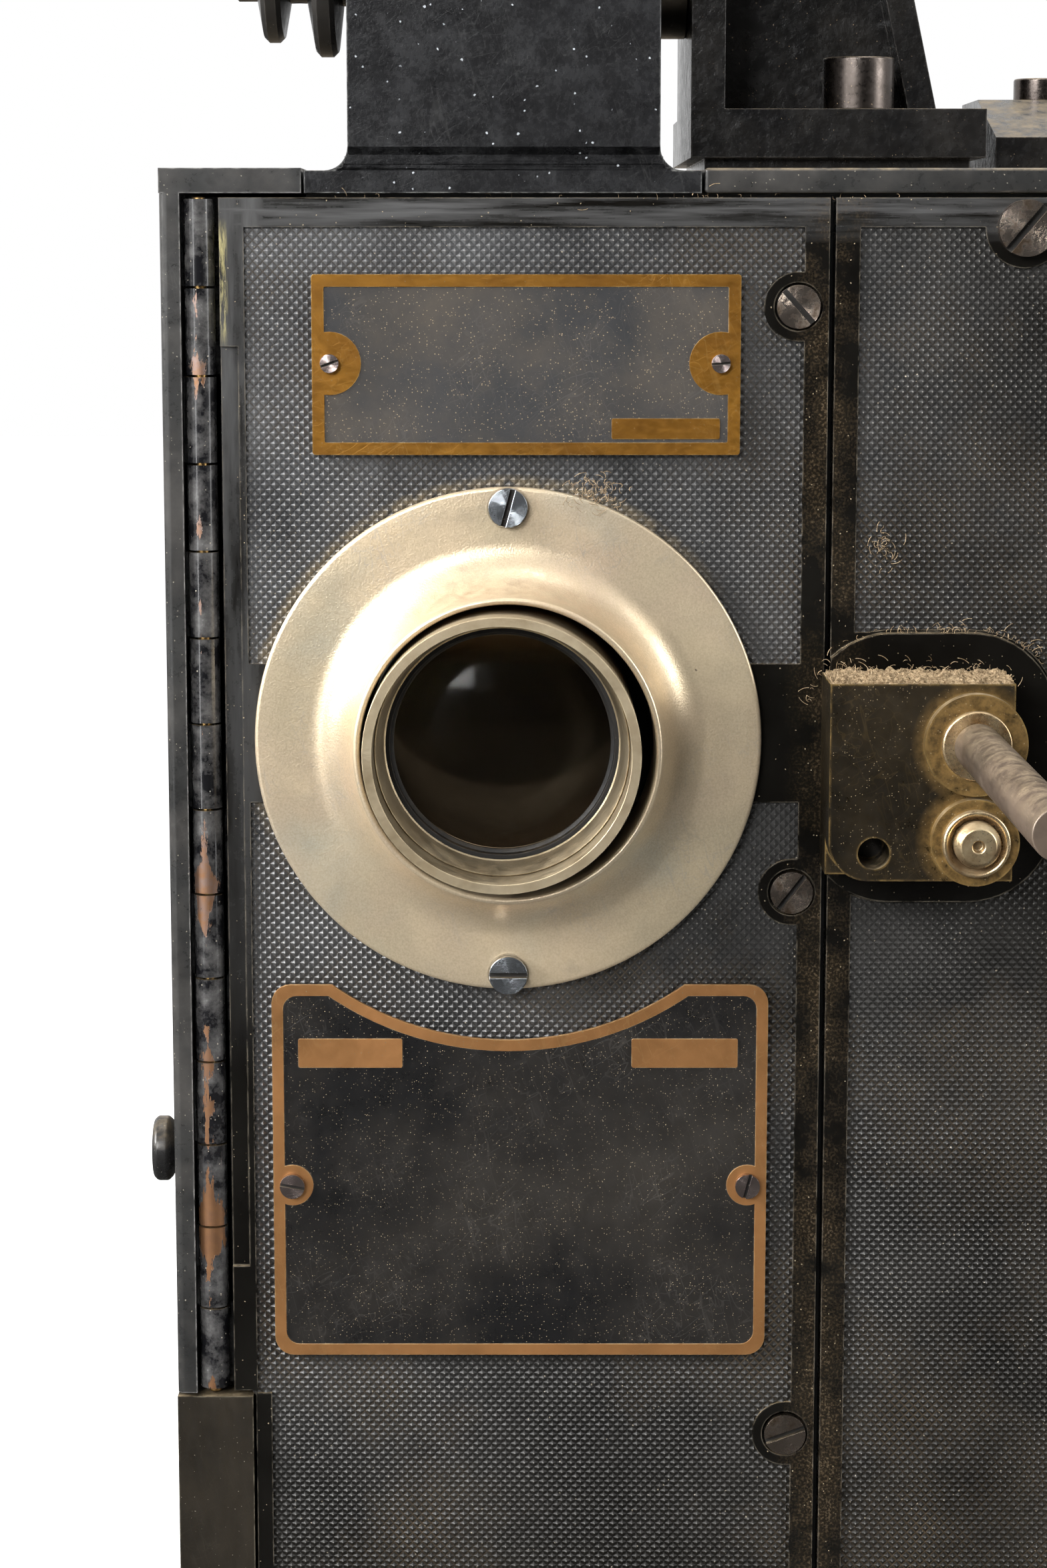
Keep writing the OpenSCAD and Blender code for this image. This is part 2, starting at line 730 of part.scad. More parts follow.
module film_door() {
    inner = left_x + door_t;
    color(japan)
    difference() {
        union() {
            // front edge frame with its rounded outer corner
            translate([0, 0, door_bot]) linear_extrude(deck_z - door_bot) union() {
                translate([left_x + door_round, front_y + door_round]) circle(door_round);
                translate([left_x + door_round, front_y]) square([door_edge_w - door_round, 8]);
                translate([left_x, front_y + door_round]) square([door_edge_w, 8 - door_round]);
            }
            block([left_x, front_y + 7, door_bot], [inner, rear_in - gap, deck_z + 1]);
            // top flange
            block([left_x, front_y, deck_z], [left_x + door_flange_w, back_y, box_h]);
            // stiffening ribs of the frame behind the plate
            block([inner - 0.5, rear_in - 14, door_bot], [inner + 3, rear_in - gap, deck_z - deck_t - 2]);
            block([inner - 0.5, front_y + 40, door_bot], [inner + 1.6, rear_in - 1, door_bot + 8]);
            bar_x(door_knob_r, inner - 0.5, inner + 1.4, knob_at);
        }
        along_x(left_x - 1, window_at)
            linear_extrude(door_t + 2) round_rect(window_size, window_size, 10);
        bar_x(3 + fit, left_x - 1, inner + 3, knob_at);
    }
}

knob_at = [0, knob_rise];

module door_hinge_leaf() {
    color(japan)
    union() {
        hinge_knuckles(0, hinge_pin_r + fit);
        difference() {
            block([left_x + door_edge_w, hinge_y, hinge_bot],
                [hinge_x - barrel_r + 1, hinge_y + 4.6, cover_top]);
            knuckle_clear(1);
            translate([hinge_x, hinge_y, hinge_bot - 1])
                cylinder(r = barrel_r - 0.3, h = cover_top, $fn = 32);
        }
        block([left_x + door_t, front_y + 8, hinge_bot],
            [left_x + door_t + 1.4, front_y + 24, cover_top - 8]);
    }
}

module window_frame() {
    color(nickel)
    difference() {
        along_x(left_x - 2.4, window_at)
            linear_extrude(2.4) round_rect(window_size + 16, window_size + 16, 14);
        along_x(left_x - 3, window_at)
            linear_extrude(4) round_rect(window_size - 5, window_size - 5, 8);
    }
}

module window_glass() {
    color(glass)
    along_x(left_x, window_at)
        linear_extrude(3) round_rect(window_size - 0.6, window_size - 0.6, 9.7);
}

module door_knob() {
    color(japan)
    along_x(left_x, knob_at) union() {
        translate([0, 0, -1.2]) cylinder(r = 3, h = wall_t + 5.1);
        translate([0, 0, -17.5]) rotate_extrude() polygon([
            [0, 0], [door_knob_r - 1, 0], [door_knob_r, 1], [door_knob_r, 3.6], [door_knob_r - 1, 4.6],
            [5, 5.6], [4.2, 9], [4.2, 12], [6.6, 14.4], [6.6, 17.2], [0, 17.2]]);
        // the tongue that turns down behind the lower wall
        translate([0, 0, door_t + 2.4]) linear_extrude(3) link([0, 0], [27, 0], 4.5);
    }
}

module film_chute() {
    x0 = chute_x0;
    x1 = chute_x1;
    top = box_h + chute_h;
    bolt_mid = [(x0 + x1) / 2, front_y + chute_d / 2 + 3];
    color(japan)
    difference() {
        union() {
            block([x0, front_y, deck_z], [x1, front_y + chute_d, top - 5]);
            block([lens_x - chute_foot_l, front_y, deck_z],
                [lens_x + chute_foot_r, front_y + chute_d + chute_foot_back, box_h - 0.5]);
            // the flared root of the chute
            for (k = [1:4])
                block([x0 - 2.4 / k, front_y, deck_z + 1],
                    [x1 + 2.4 / k, front_y + chute_d + 2.4 / k, box_h - 0.5 + k * 0.7]);
            block([x0 - 4, front_y, top - 6], [x1 + 4, front_y + chute_d + 6, top]);
        }
        block([slot_lo[0], slot_lo[1], deck_z - 1], [slot_hi[0], slot_hi[1], top - 14]);
        block([slot_lo[0], front_y + chute_film_in - 6, top - 15],
            [slot_hi[0], front_y + chute_film_in + 6, top + 1]);
        bar_x(chute_shaft_r + fit, x0 - 1, x1 + 1, chute_roller_at);
        for (sx = [-1, 1], sy = [-1, 1])
            translate([bolt_mid[0] + sx * flange_bolt_x / 2, bolt_mid[1] + sy * flange_bolt_y / 2, top - 8])
                cylinder(r = flange_bolt_r, h = 10);
    }
}

// sides of the chute's body
chute_x0 = lens_x - chute_w / 2 - 0.8;
chute_x1 = chute_x0 + chute_w;
flange_bolt_r = 2.6;
chute_shaft_r = 5;
chute_roll_r = 10;
chute_roller_at = [front_y + chute_film_in - chute_roll_r - 2, box_h + chute_roller_rise];

module chute_roller() {
    color(steel) union() {
        bar_x(chute_shaft_r, chute_x0 - 24, chute_x1 + 3.4, chute_roller_at);
        bar_x(chute_roll_r - 2, lens_x - film_w / 2, lens_x + film_w / 2, chute_roller_at);
        for (s = [-1, 1])
            bar_x(chute_roll_r, lens_x + s * (film_w / 2 - 2) - 2, lens_x + s * (film_w / 2 - 2) + 2,
                chute_roller_at);
    }
    // the dark collar on the right end
    color(japan)
    difference() {
        bar_x(16.8, chute_x1 + 0.8, chute_x1 + 7, chute_roller_at);
        bar_x(chute_shaft_r + 0.01, chute_x1, chute_x1 + 3.5, chute_roller_at);
    }
}

module chute_knob() {
    color(japan)
    difference() {
        along_x(chute_x0 - 26, chute_roller_at) rotate_extrude($fn = 64) polygon([
            [0, 0], [8, 0], [9, 1], [9, 5], [16.6, 6.4], [17.6, 7.4], [17.6, 9.6], [16.6, 10.6],
            [9.4, 12], [9.4, 15.6], [19.5, 17.4], [20.6, 18.4], [20.6, 21], [19.6, 22],
            [10, 23.2], [10, 25.2], [0, 25.2]]);
        bar_x(chute_shaft_r + 0.01, chute_x0 - 24, chute_x0 + 2, chute_roller_at);
        // hole for the set screw
        translate([chute_x0 - 12.2, chute_roller_at[0], chute_roller_at[1] - 14])
            cylinder(r = 1.6, h = 8.6);
    }
}

module magazine_bracket() {
    y0 = front_y + 18;
    y1 = y0 + 84;
    x0 = seam_x - 28;
    x1 = x0 + 61;
    z0 = box_h + 2.5;
    z1 = z0 + 10;
    top = box_h + arm_h;
    color(japan) {
        difference() {
            union() {
                block([x0, y0, z0], [x1, y1, z1]);
                block([x0 + 3, y0 + 3, box_h], [x1 - 3, y1 - 3, z0 + 1]);
                // left flange and the web that narrows upward
                block([x0, y0, z1 - 1], [x0 + 7, y1 - 20, top - 8]);
                translate([0, y0 + 34, 0]) rotate([90, 0, 0]) linear_extrude(7)
                    polygon([[x0 + 3, z1 - 1], [x1 - 8, z1 - 1], [x1 - 24, top - 8], [x0 + 3, top - 8]]);
                translate([0, y0 + 34, 0]) rotate([90, 0, 0]) linear_extrude(16)
                    polygon([[x1 - 14, z1 - 1], [x1 - 8, z1 - 1], [x1 - 24, top - 8], [x1 - 30, top - 8]]);
                block([x0, y0, top - 8], [x1 - 22, y1 - 20, top]);
            }
            for (y = [y0 + arm_hole_in, y0 + arm_hole_in + arm_hole_gap])
                translate([x0 + 20, y, top - 9]) cylinder(r = 3.3, h = 10);
            translate([bolt_at[0], bolt_at[1], box_h - 1]) cylinder(r = 4.05, h = 30);
        }
        // the sloped brace foot beside the bracket
        difference() {
            translate([x1 + 3, y0 + 8, box_h]) rotate([90, 0, 90]) linear_extrude(30)
                polygon([[0, 0], [56, 0], [56, 16], [30, 16], [0, 7]]);
            translate([brace_bolt_at[0], brace_bolt_at[1], box_h - 1]) cylinder(r = 3.05, h = 30);
        }
    }
}

// place of the first arm hole from the bracket's front, and the distance to the second
arm_hole_in = 14;
arm_hole_gap = 36;
bolt_at = [seam_x + 7.7, front_y + 32];
brace_bolt_at = [seam_x + 51, front_y + 68];

module top_bolts() {
    color(steel) {
        // the tall round nut and its stud on the bracket's foot
        translate([bolt_at[0], bolt_at[1], box_h + 12.5]) difference() {
            cylinder(r = 7.5, h = 11);
            translate([0, 0, 8]) cylinder(r = 4.6, h = 4);
        }
        translate([bolt_at[0], bolt_at[1], box_h]) cylinder(r = 4, h = 13);
        translate([brace_bolt_at[0], brace_bolt_at[1], box_h + 16]) cylinder(r = 5.5, h = 5);
        translate([brace_bolt_at[0], brace_bolt_at[1], box_h]) cylinder(r = 3, h = 17);
    }
}

guide_at = [shutter_x + 0.2, shutter_z - 19.7];
guide_r = 4.7;
block_hole_at = [shutter_x - 19.9, shutter_z - 22.4];
pad_face = front_y - 2.4;

module shutter_bracket() {
    front = front_y - bracket_out;
    color(bronze)
    difference() {
        union() {
            to_front(pad_face, bracket_mid) linear_extrude(pad_face - front - 8)
                square([bracket_w, bracket_h], center = true);
            to_front(front + 9, bracket_mid) linear_extrude(9) intersection() {
                translate([10, 10]) round_rect(bracket_w + 20, bracket_h + 20, 8);
                square([bracket_w, bracket_h], center = true);
            }
            bar_y(10.3, front - 3, pad_face, [shutter_x, shutter_z]);
            bar_y(8.8, front - 3, pad_face, guide_at);
        }
        bar_y(7 + 0.01, front - 4, pad_face + 1, [shutter_x, shutter_z]);
        bar_y(6.8 + 0.01, front - 4, pad_face + 1, guide_at);
        bar_y(3.2, front - 1, front + 12, block_hole_at);
    }
}

module bracket_bushes() {
    front = front_y - bracket_out;
    color(brass) {
        difference() {
            bar_y(7, front - 4.4, pad_face, [shutter_x, shutter_z]);
            bar_y(journal_r + fit, front - 5, pad_face + 1, [shutter_x, shutter_z]);
        }
        difference() {
            bar_y(6.8, front - 5, pad_face, guide_at);
            bar_y(guide_r + 0.01, front - 6, pad_face + 1, guide_at);
            to_front(front - 3, guide_at) cylinder(r1 = guide_r, r2 = 6.1, h = 2.2);
        }
    }
}

module guide_pin() {
    front = front_y - bracket_out;
    color(steel)
    difference() {
        union() {
            bar_y(guide_r, front - 6, inner_front - 0.5, guide_at);
            to_front(front - 6, guide_at) cylinder(r1 = guide_r, r2 = 3.6, h = 1.6);
        }
        bar_y(1.2, front - 9, front - 5.6, guide_at);
    }
}

module shutter_shaft() {
    color(steel)
    union() {
        bar_y(shutter_r, front_y - shutter_out, front_y - bracket_out - 5, [shutter_x, shutter_z]);
        bar_y(journal_r, front_y - bracket_out - 6, drive_at[0] - crown_mid + 5, [shutter_x, shutter_z]);
    }
}

// pitch radius where the shutter pinion runs on the crown gear
crown_teeth = 32;
crown_mid = gear_m * crown_teeth / 2;
crown_tip = shutter_x + r_pinion - 1.1;

module shutter_pinion() {
    color(brass)
    difference() {
        to_front(drive_at[0] - crown_mid + 2.5, [shutter_x, shutter_z])
            spur(teeth_pinion, 0, 5, 2.6);
        bar_y(journal_r + 0.01, drive_at[0] - 40, drive_at[0], [shutter_x, shutter_z]);
    }
}

module lens_carrier() {
    at = [tube_x, lens_z];
    ys = [front_y + 38, front_y + 86];
    color(iron)
    difference() {
        union() {
            for (y = ys) {
                bar_y(carrier_r, y, y + 12, at);
                block([tube_x, y, lens_z - 14], [frame_x, y + 12, lens_z + 14]);
            }
            block([tube_x + carrier_r + 3, ys[0], lens_z - 14], [frame_x, ys[1] + 12, lens_z + 14]);
            // ears of the focus pinion below the rear ring
            for (x = [tube_x - 9, tube_x + 5.4])
                block([x, ys[0] + 17, lens_z - carrier_r - 9.4],
                    [x + 3.6, ys[1] + 1, lens_z - carrier_r + 6]);
        }
        bar_y(barrel_tube_r + fit, ys[0] - 1, ys[1] + 13, at);
        // the slot that the rack runs in
        block([tube_x - 4.6, ys[0] - 1, lens_z - carrier_r - 1],
            [tube_x + 4.6, ys[1] + 13, lens_z - barrel_tube_r + 3]);
        bar_x(pinion_shaft_r + fit, tube_x - 20, tube_x + 20, focus_at);
    }
}

pinion_shaft_r = 2.5;
rack_m = 1;
rack_t = 2.6;
rack_pitch_z = lens_z - barrel_tube_r - rack_t;
focus_teeth = 12;
focus_knob_r = 9;
focus_at = [front_y + 66, rack_pitch_z - rack_m * focus_teeth / 2];

module lens_barrel() {
    at = [tube_x, lens_z];
    y0 = front_y - tube_out;
    pitch = rack_m * PI;
    color(nickel)
    difference() {
        union() {
            bar_y(barrel_tube_r, y0, y0 + tube_len, at);
            // rack under the barrel
            translate([tube_x - 3.5, focus_at[0] - pitch * 7.5, 0]) rotate([90, 0, 90])
                linear_extrude(7) polygon(concat(
                    [[0, lens_z - barrel_tube_r + 0.6]],
                    [for (i = [0:14]) each [
                        [i * pitch + pitch * 0.04, rack_pitch_z + 1.2],
                        [i * pitch + pitch * 0.24, rack_pitch_z - 0.75],
                        [i * pitch + pitch * 0.46, rack_pitch_z - 0.75],
                        [i * pitch + pitch * 0.66, rack_pitch_z + 1.2]]],
                    [[15 * pitch, rack_pitch_z + 1.2], [15 * pitch, lens_z - barrel_tube_r + 0.6]]));
        }
        bar_y(barrel_tube_r - tube_wall, y0 - 1, y0 + tube_len + 1, at);
    }
    // the inner cell that holds the glasses
    color(japan)
    difference() {
        bar_y(barrel_tube_r - tube_wall - 0.02, y0 + 18, y0 + tube_len - 12, at);
        bar_y(barrel_tube_r - tube_wall - 3, y0 + 17, y0 + tube_len - 11, at);
    }
}

module lens_glass() {
    at = [tube_x, lens_z];
    y0 = front_y - tube_out;
    r = barrel_tube_r - tube_wall - 3.05;
    color(glass) {
        bar_y(r, y0 + 21, y0 + 24, at);
        to_front(y0 + 21.01, at) cylinder(r1 = r, r2 = r * 0.5, h = 2.2);
        bar_y(r, y0 + tube_len - 20, y0 + tube_len - 16, at);
    }
}

module focus_knob() {
    color(brass) union() {
        bar_x(pinion_shaft_r, tube_x - 40, tube_x + 9.6, focus_at);
        along_x(tube_x - 3, focus_at) linear_extrude(6)
            polygon(gear_points(focus_teeth, rack_m, -90 + 180 / focus_teeth, 3.2));
        // fluted knob
        along_x(tube_x - 52, focus_at) linear_extrude(13)
            polygon([for (i = [0:95]) (i % 4 == 0 ? focus_knob_r - 0.5 : focus_knob_r)
                * [cos(i * 3.75), sin(i * 3.75)]]);
    }
}

module aperture_plate() {
    color(steel)
    difference() {
        union() {
            block([lens_x - 24, trap_y, gate_z0], [frame_x, trap_y + trap_t, gate_z1]);
            // film rails
            for (s = [-1, 1]) block([lens_x + s * 20.5 - 2.5, trap_y - 0.2, gate_z0],
                [lens_x + s * 20.5 + 2.5, trap_y + 1, gate_z1]);
            for (at = gate_rod_at) bar_y(rod_r, trap_y - gate_t - gate_travel - 4, trap_y + 1, at);
            // bracket to the centre frame
            block([frame_x - 8, trap_y, gate_z0 - 6], [frame_x, trap_y + 22, gate_z1 + 6]);
            bar_y(5, trap_y + 2, trap_y + trap_t + 0.4, flap_at);
            bar_y(2, trap_y + 2, trap_y + trap_t + 5, flap_at);
        }
        block([lens_x - aperture_w / 2, trap_y - 1, lens_z - aperture_h / 2],
            [lens_x + aperture_w / 2, trap_y + trap_t + 1, lens_z + aperture_h / 2]);
    }
}

gate_rod_at = [[lens_x + 34, lens_z + 22], [lens_x + 34, lens_z - 18]];
flap_at = [lens_x + 30, lens_z + 26];

module gate() {
    y1 = trap_y - gap;
    color(iron)
    difference() {
        union() {
            block([lens_x - 24, y1 - gate_t, gate_z0 + 2], [lens_x + 40, y1, gate_z1 - 2]);
            // the shoe that keeps the film on the stepping sprocket
            along_x(lens_x - 19, step_at) linear_extrude(38) difference() {
                circle(sprocket_r + tooth_h + 3.4);
                circle(sprocket_r + tooth_h + 0.7);
                translate([-16, -60]) square([60, 120]);
                translate([-40, -60]) square([80, 52]);
            }
            block([lens_x - 19, y1 - gate_t, step_at[1] + 4], [lens_x + 19, y1 - 2.6, gate_z0 + 3]);
            // finger knob of the gate
            bar_x(3, lens_x - 40, lens_x - 23, [y1 - gate_t / 2, lens_z + 30]);
            bar_x(6, lens_x - 48, lens_x - 39, [y1 - gate_t / 2, lens_z + 30]);
        }
        block([lens_x - aperture_w / 2 - 3, y1 - gate_t - 1, lens_z - aperture_h / 2 - 3],
            [lens_x + aperture_w / 2 + 3, y1 + 1, lens_z + aperture_h / 2 + 3]);
        for (at = gate_rod_at) bar_y(rod_r + fit, y1 - gate_t - 1, y1 + 1, at);
    }
}

module light_cone() {
    y0 = trap_y + trap_t + 6;
    color(japan)
    to_front(rear_in, [lens_x, lens_z]) rotate_extrude($fn = 64) polygon([
        [36, 0], [44, 0], [44, 3], [38, 3], [24, rear_in - y0], [22, rear_in - y0]]);
}

module fire_shutter() {
    y0 = trap_y + trap_t + 0.8;
    color(steel)
    difference() {
        to_front(y0 + 1.6, [0, 0]) linear_extrude(1.6) union() {
            translate(flap_at) circle(5);
            link(flap_at, flap_at + [-8, -4], 3);
            translate([lens_x - 17, lens_z + 11]) square([40, 22]);
        }
        bar_y(2 + fit, y0 - 1, y0 + 3, flap_at);
    }
}

module intermittent_case() {
    inner = 2.5;
    color(iron) {
        difference() {
            union() {
                bar_x(12, frame_x1, case_x0 + 1, step_at);
                bar_x(9, frame_x1, case_x0 + 1, fly_at);
                bar_x(21, case_x0, case_x1 - 3, step_at);
                bar_x(23, case_x0, case_x1 - 3, fly_at);
            }
            bar_x(18.5, case_x0 + inner, case_x1 + 1, step_at);
            bar_x(20.5, case_x0 + inner, case_x1 + 1, fly_at);
            bar_x(shaft_r + fit, frame_x1 - 1, case_x1, step_at);
            bar_x(shaft_r + fit, case_x0 - 4, case_x1, fly_at);
        }
        // round cover of the case
        difference() {
            union() {
                bar_x(21, case_x1 - 3, case_x1, step_at);
                bar_x(23, case_x1 - 3, case_x1, fly_at);
            }
            bar_x(shaft_r + fit, case_x1 - 4, case_x1 + 1, fly_at);
        }
    }
}

module star_wheel() {
    color(steel)
    difference() {
        along_x(case_x0 + 3.2, step_at) linear_extrude(5.4) difference() {
            circle(star_r);
            for (i = [0:3]) rotate(45 + 90 * i) {
                translate([8, -1.7]) square([12, 3.4]);
                translate([8, 0]) circle(1.7);
                rotate(45) translate([geneva_a, 0]) circle(12.4);
            }
        }
        bar_x(shaft_r + 0.01, case_x0, case_x1, step_at);
    }
}

// a sprocket of two toothed rims on a thinner core
module sprocket(at, phase) {
    for (s = [-1, 1])
        along_x(lens_x + s * perf_pitch / 2 - 3.4, at) cylinder(r = sprocket_r, h = 6.8);
    for (s = [-1, 1])
        along_x(lens_x + s * perf_pitch / 2 - 1, at)
            linear_extrude(2) rotate(phase) polygon(sprocket_points(sprocket_r, tooth_h, 16));
    bar_x(sprocket_r - 3, lens_x - perf_pitch / 2, lens_x + perf_pitch / 2, at);
}

module intermittent_sprocket() {
    color(steel) union() {
        sprocket(step_at, 0);
        bar_x(shaft_r, lens_x - film_w / 2 - 2, case_x0 + 9, step_at);
    }
}

module cam_wheel() {
    x = case_x0 + 9.4;
    color(steel)
    difference() {
        union() {
            bar_x(19, x + 0.6, x + 5.4, fly_at);
            along_x(x, fly_at) translate([17, 0, 0]) cylinder(r = 1.5, h = 2);
        }
        bar_x(shaft_r + 0.01, x - 1, x + 8, fly_at);
    }
}

module flywheel() {
    color(steel)
    union() {
        bar_x(shaft_r, case_x0 - 3, bridge_x + bridge_t, fly_at);
        along_x(plane_b, fly_at) spur(teeth_fly, phase_fly, face_w, thin_a);
        along_x(plane_b + face_w + 3, fly_at) rotate_extrude($fn = 64) polygon([
            [0, 0], [26, 0], [26, 9], [20, 9], [18, 4], [9, 4], [8, 9], [0, 9]]);
    }
}

module crank_gear() {
    color(steel) union() {
        bar_x(heavy_shaft_r, frame_x - 11, right_x + 12, crank_at);
        difference() {
            along_x(plane_a, crank_at) spur(teeth_crank, phase_crank, face_w, thin_a / 2);
            for (i = [0:4]) along_x(plane_a - 1, crank_at) rotate(i * 72 + 18)
                translate([28, 0, 0]) cylinder(r = 10, h = face_w + 2);
        }
        bar_x(9, plane_a, plane_a + face_w + 5, crank_at);
    }
}

crank_x = right_x + 3.5;

module crank_arm() {
    tip = crank_at - [0, crank_len];
    color(iron) union() {
        difference() {
            along_x(crank_x, crank_at) union() {
                cylinder(r = 13, h = 10);
                linear_extrude(7) link([0, 0], [0, -crank_len], 8);
            }
            bar_x(heavy_shaft_r + 0.01, crank_x - 1, crank_x + 11, crank_at);
        }
        bar_x(4, crank_x + 6, crank_x + 9 + grip_len, tip);
        bar_x(6.5, crank_x + 8.2 + grip_len, crank_x + 10.5 + grip_len, tip);
    }
}

module crank_grip() {
    tip = crank_at - [0, crank_len];
    color(wood)
    difference() {
        along_x(crank_x + 7.6, tip) rotate_extrude($fn = 64) polygon(concat(
            [[0, 0]],
            [for (i = [0:12]) [grip_r * (0.72 + 0.28 * sin(i * 15)), grip_len * i / 12]],
            [[0, grip_len]]));
        bar_x(4 + fit, crank_x, crank_x + 10 + grip_len, tip);
    }
}

module drive_shaft() {
    color(steel) union() {
        bar_x(heavy_shaft_r, frame_x - 11, bridge_x + bridge_t, drive_at);
        along_x(plane_a - 0.5, drive_at) spur(teeth_pinion, phase_drive, face_w + 1, thin_a * 1.6);
    }
}

module drive_gear() {
    color(bronze)
    difference() {
        union() {
            difference() {
                along_x(plane_b, drive_at) spur(teeth_drive, phase_drive, face_w, thin_a / 2);
                for (i = [0:4]) along_x(plane_b - 1, drive_at) rotate(i * 72)
                    translate([34.2, 0, 0]) cylinder(r = 5.4, h = face_w + 2);
            }
            bar_x(9, plane_b, plane_b + face_w + 5, drive_at);
            // crown gear that drives the shutter pinion
            along_x(crown_tip + 2.6, drive_at) cylinder(r = 27, h = plane_b - crown_tip - 2);
            for (i = [0:crown_teeth - 1])
                along_x(crown_tip, drive_at) rotate(360 * (i + 0.5) / crown_teeth) translate([21.5, 0, 0])
                    rotate([90, 0, 90]) linear_extrude(5)
                        polygon([[-0.95, 2.8], [-0.55, 0], [0.55, 0], [0.95, 2.8]]);
        }
        bar_x(heavy_shaft_r + 0.01, crown_tip - 1, plane_b + face_w + 6, drive_at);
    }
}

module idler_gear() {
    color(brass) union() {
        bar_x(shaft_r, frame_x - 11, plane_a + face_w + 4, idler_at);
        difference() {
            along_x(plane_a, idler_at) spur(teeth_idler, phase_idler, face_w, thin_a);
            for (i = [0:4]) along_x(plane_a - 1, idler_at) rotate(i * 72)
                translate([16, 0, 0]) cylinder(r = 5, h = face_w + 2);
        }
    }
}

module upper_sprocket() {
    color(steel) union() {
        sprocket(upper_at, 5);
        bar_x(shaft_r, lens_x - film_w / 2 - 2, plane_a + face_w + 2, upper_at);
    }
}

module upper_gear() {
    color(brass)
    difference() {
        along_x(plane_a, upper_at) spur(teeth_feed, phase_upper, face_w, thin_a);
        bar_x(shaft_r + 0.01, plane_a - 1, plane_a + face_w + 1, upper_at);
    }
}

module lower_sprocket() {
    color(steel) union() {
        sprocket(lower_at, 3);
        bar_x(shaft_r, lens_x - film_w / 2 - 2, plane_a + face_w + 2, lower_at);
    }
}

module lower_gear() {
    color(brass)
    difference() {
        along_x(plane_a, lower_at) spur(teeth_feed, phase_lower, face_w, thin_a);
        bar_x(shaft_r + 0.01, plane_a - 1, plane_a + face_w + 1, lower_at);
    }
}

// a pad roller lies on its sprocket at 45 degrees, and its arm turns on a stud
pad_reach = (sprocket_r + tooth_h + 0.6 + pad_roll_r) * cos(45);
upper_roll_at = upper_at + [-pad_reach, -pad_reach];
upper_stud = upper_roll_at + [-22, 7];
lower_roll_at = lower_at + [-pad_reach, pad_reach];
lower_stud = lower_roll_at + [-24, 6];

module pad_arm(stud, roll) {
    x = frame_x - 26;
    union() {
        difference() {
            along_x(x, [0, 0]) linear_extrude(5) link(stud, roll, 5.4);
            bar_x(3 + fit, x - 1, x + 6, stud);
        }
        bar_x(2, lens_x - film_w / 2 - 1.5, x + 1, roll);
        bar_x(3.4, lens_x - film_w / 2 - 3, lens_x - film_w / 2 - 1.2, roll);
    }
}

module upper_pad_arm() {
    color(iron) pad_arm(upper_stud, upper_roll_at);
}

module lower_pad_arm() {
    color(iron) pad_arm(lower_stud, lower_roll_at);
}

module pad_roller(at) {
    difference() {
        union() {
            bar_x(pad_roll_r - 2, lens_x - film_w / 2, lens_x + film_w / 2, at);
            for (s = [-1, 1])
                bar_x(pad_roll_r, lens_x + s * 14.5 - 2.6, lens_x + s * 14.5 + 2.6, at);
        }
        bar_x(2 + fit, lens_x - film_w, lens_x + film_w, at);
    }
}

module upper_pad_roller() {
    color(steel) pad_roller(upper_roll_at);
}

module lower_pad_roller() {
    color(steel) pad_roller(lower_roll_at);
}

module bearing_bridge() {
    color(iron)
    difference() {
        union() {
            along_x(bridge_x, [0, 0]) linear_extrude(bridge_t) union() {
                link(post_at[0], drive_at, 9);
                link(post_at[1], drive_at, 9);
                link(post_at[1], fly_at, 9);
                link(drive_at, crank_at, 9);
                link(post_at[2], crank_at, 9);
                translate(crank_at) circle(12);
                translate(drive_at) circle(12);
            }
            for (p = post_at) bar_x(6, frame_x1, bridge_x + 1, p);
        }
        bar_x(heavy_shaft_r + fit, bridge_x - 1, bridge_x + bridge_t + 1, drive_at);
        bar_x(heavy_shaft_r + fit, bridge_x - 1, bridge_x + bridge_t + 1, crank_at);
        bar_x(shaft_r + fit, bridge_x - 1, bridge_x + bridge_t + 1, fly_at);
    }
}

base_casting();
centre_frame();
rear_wall();
top_deck();
top_plate();
lens_side_cover();
gear_side_cover();
side_cover();
cover_screws();
lens_collar();
collar_screws();
upper_plate();
lower_plate();
plate_screws();
fixed_hinge_leaf();
hinge_pin();
film_door();
door_hinge_leaf();
window_frame();
window_glass();
door_knob();
film_chute();
chute_roller();
chute_knob();
magazine_bracket();
top_bolts();
shutter_bracket();
bracket_bushes();
guide_pin();
shutter_shaft();
shutter_pinion();
lens_carrier();
lens_barrel();
lens_glass();
focus_knob();
aperture_plate();
gate();
light_cone();
fire_shutter();
intermittent_case();
star_wheel();
intermittent_sprocket();
cam_wheel();
flywheel();
crank_gear();
crank_arm();
crank_grip();
drive_shaft();
drive_gear();
idler_gear();
upper_sprocket();
upper_gear();
lower_sprocket();
lower_gear();
upper_pad_arm();
lower_pad_arm();
upper_pad_roller();
lower_pad_roller();
bearing_bridge();
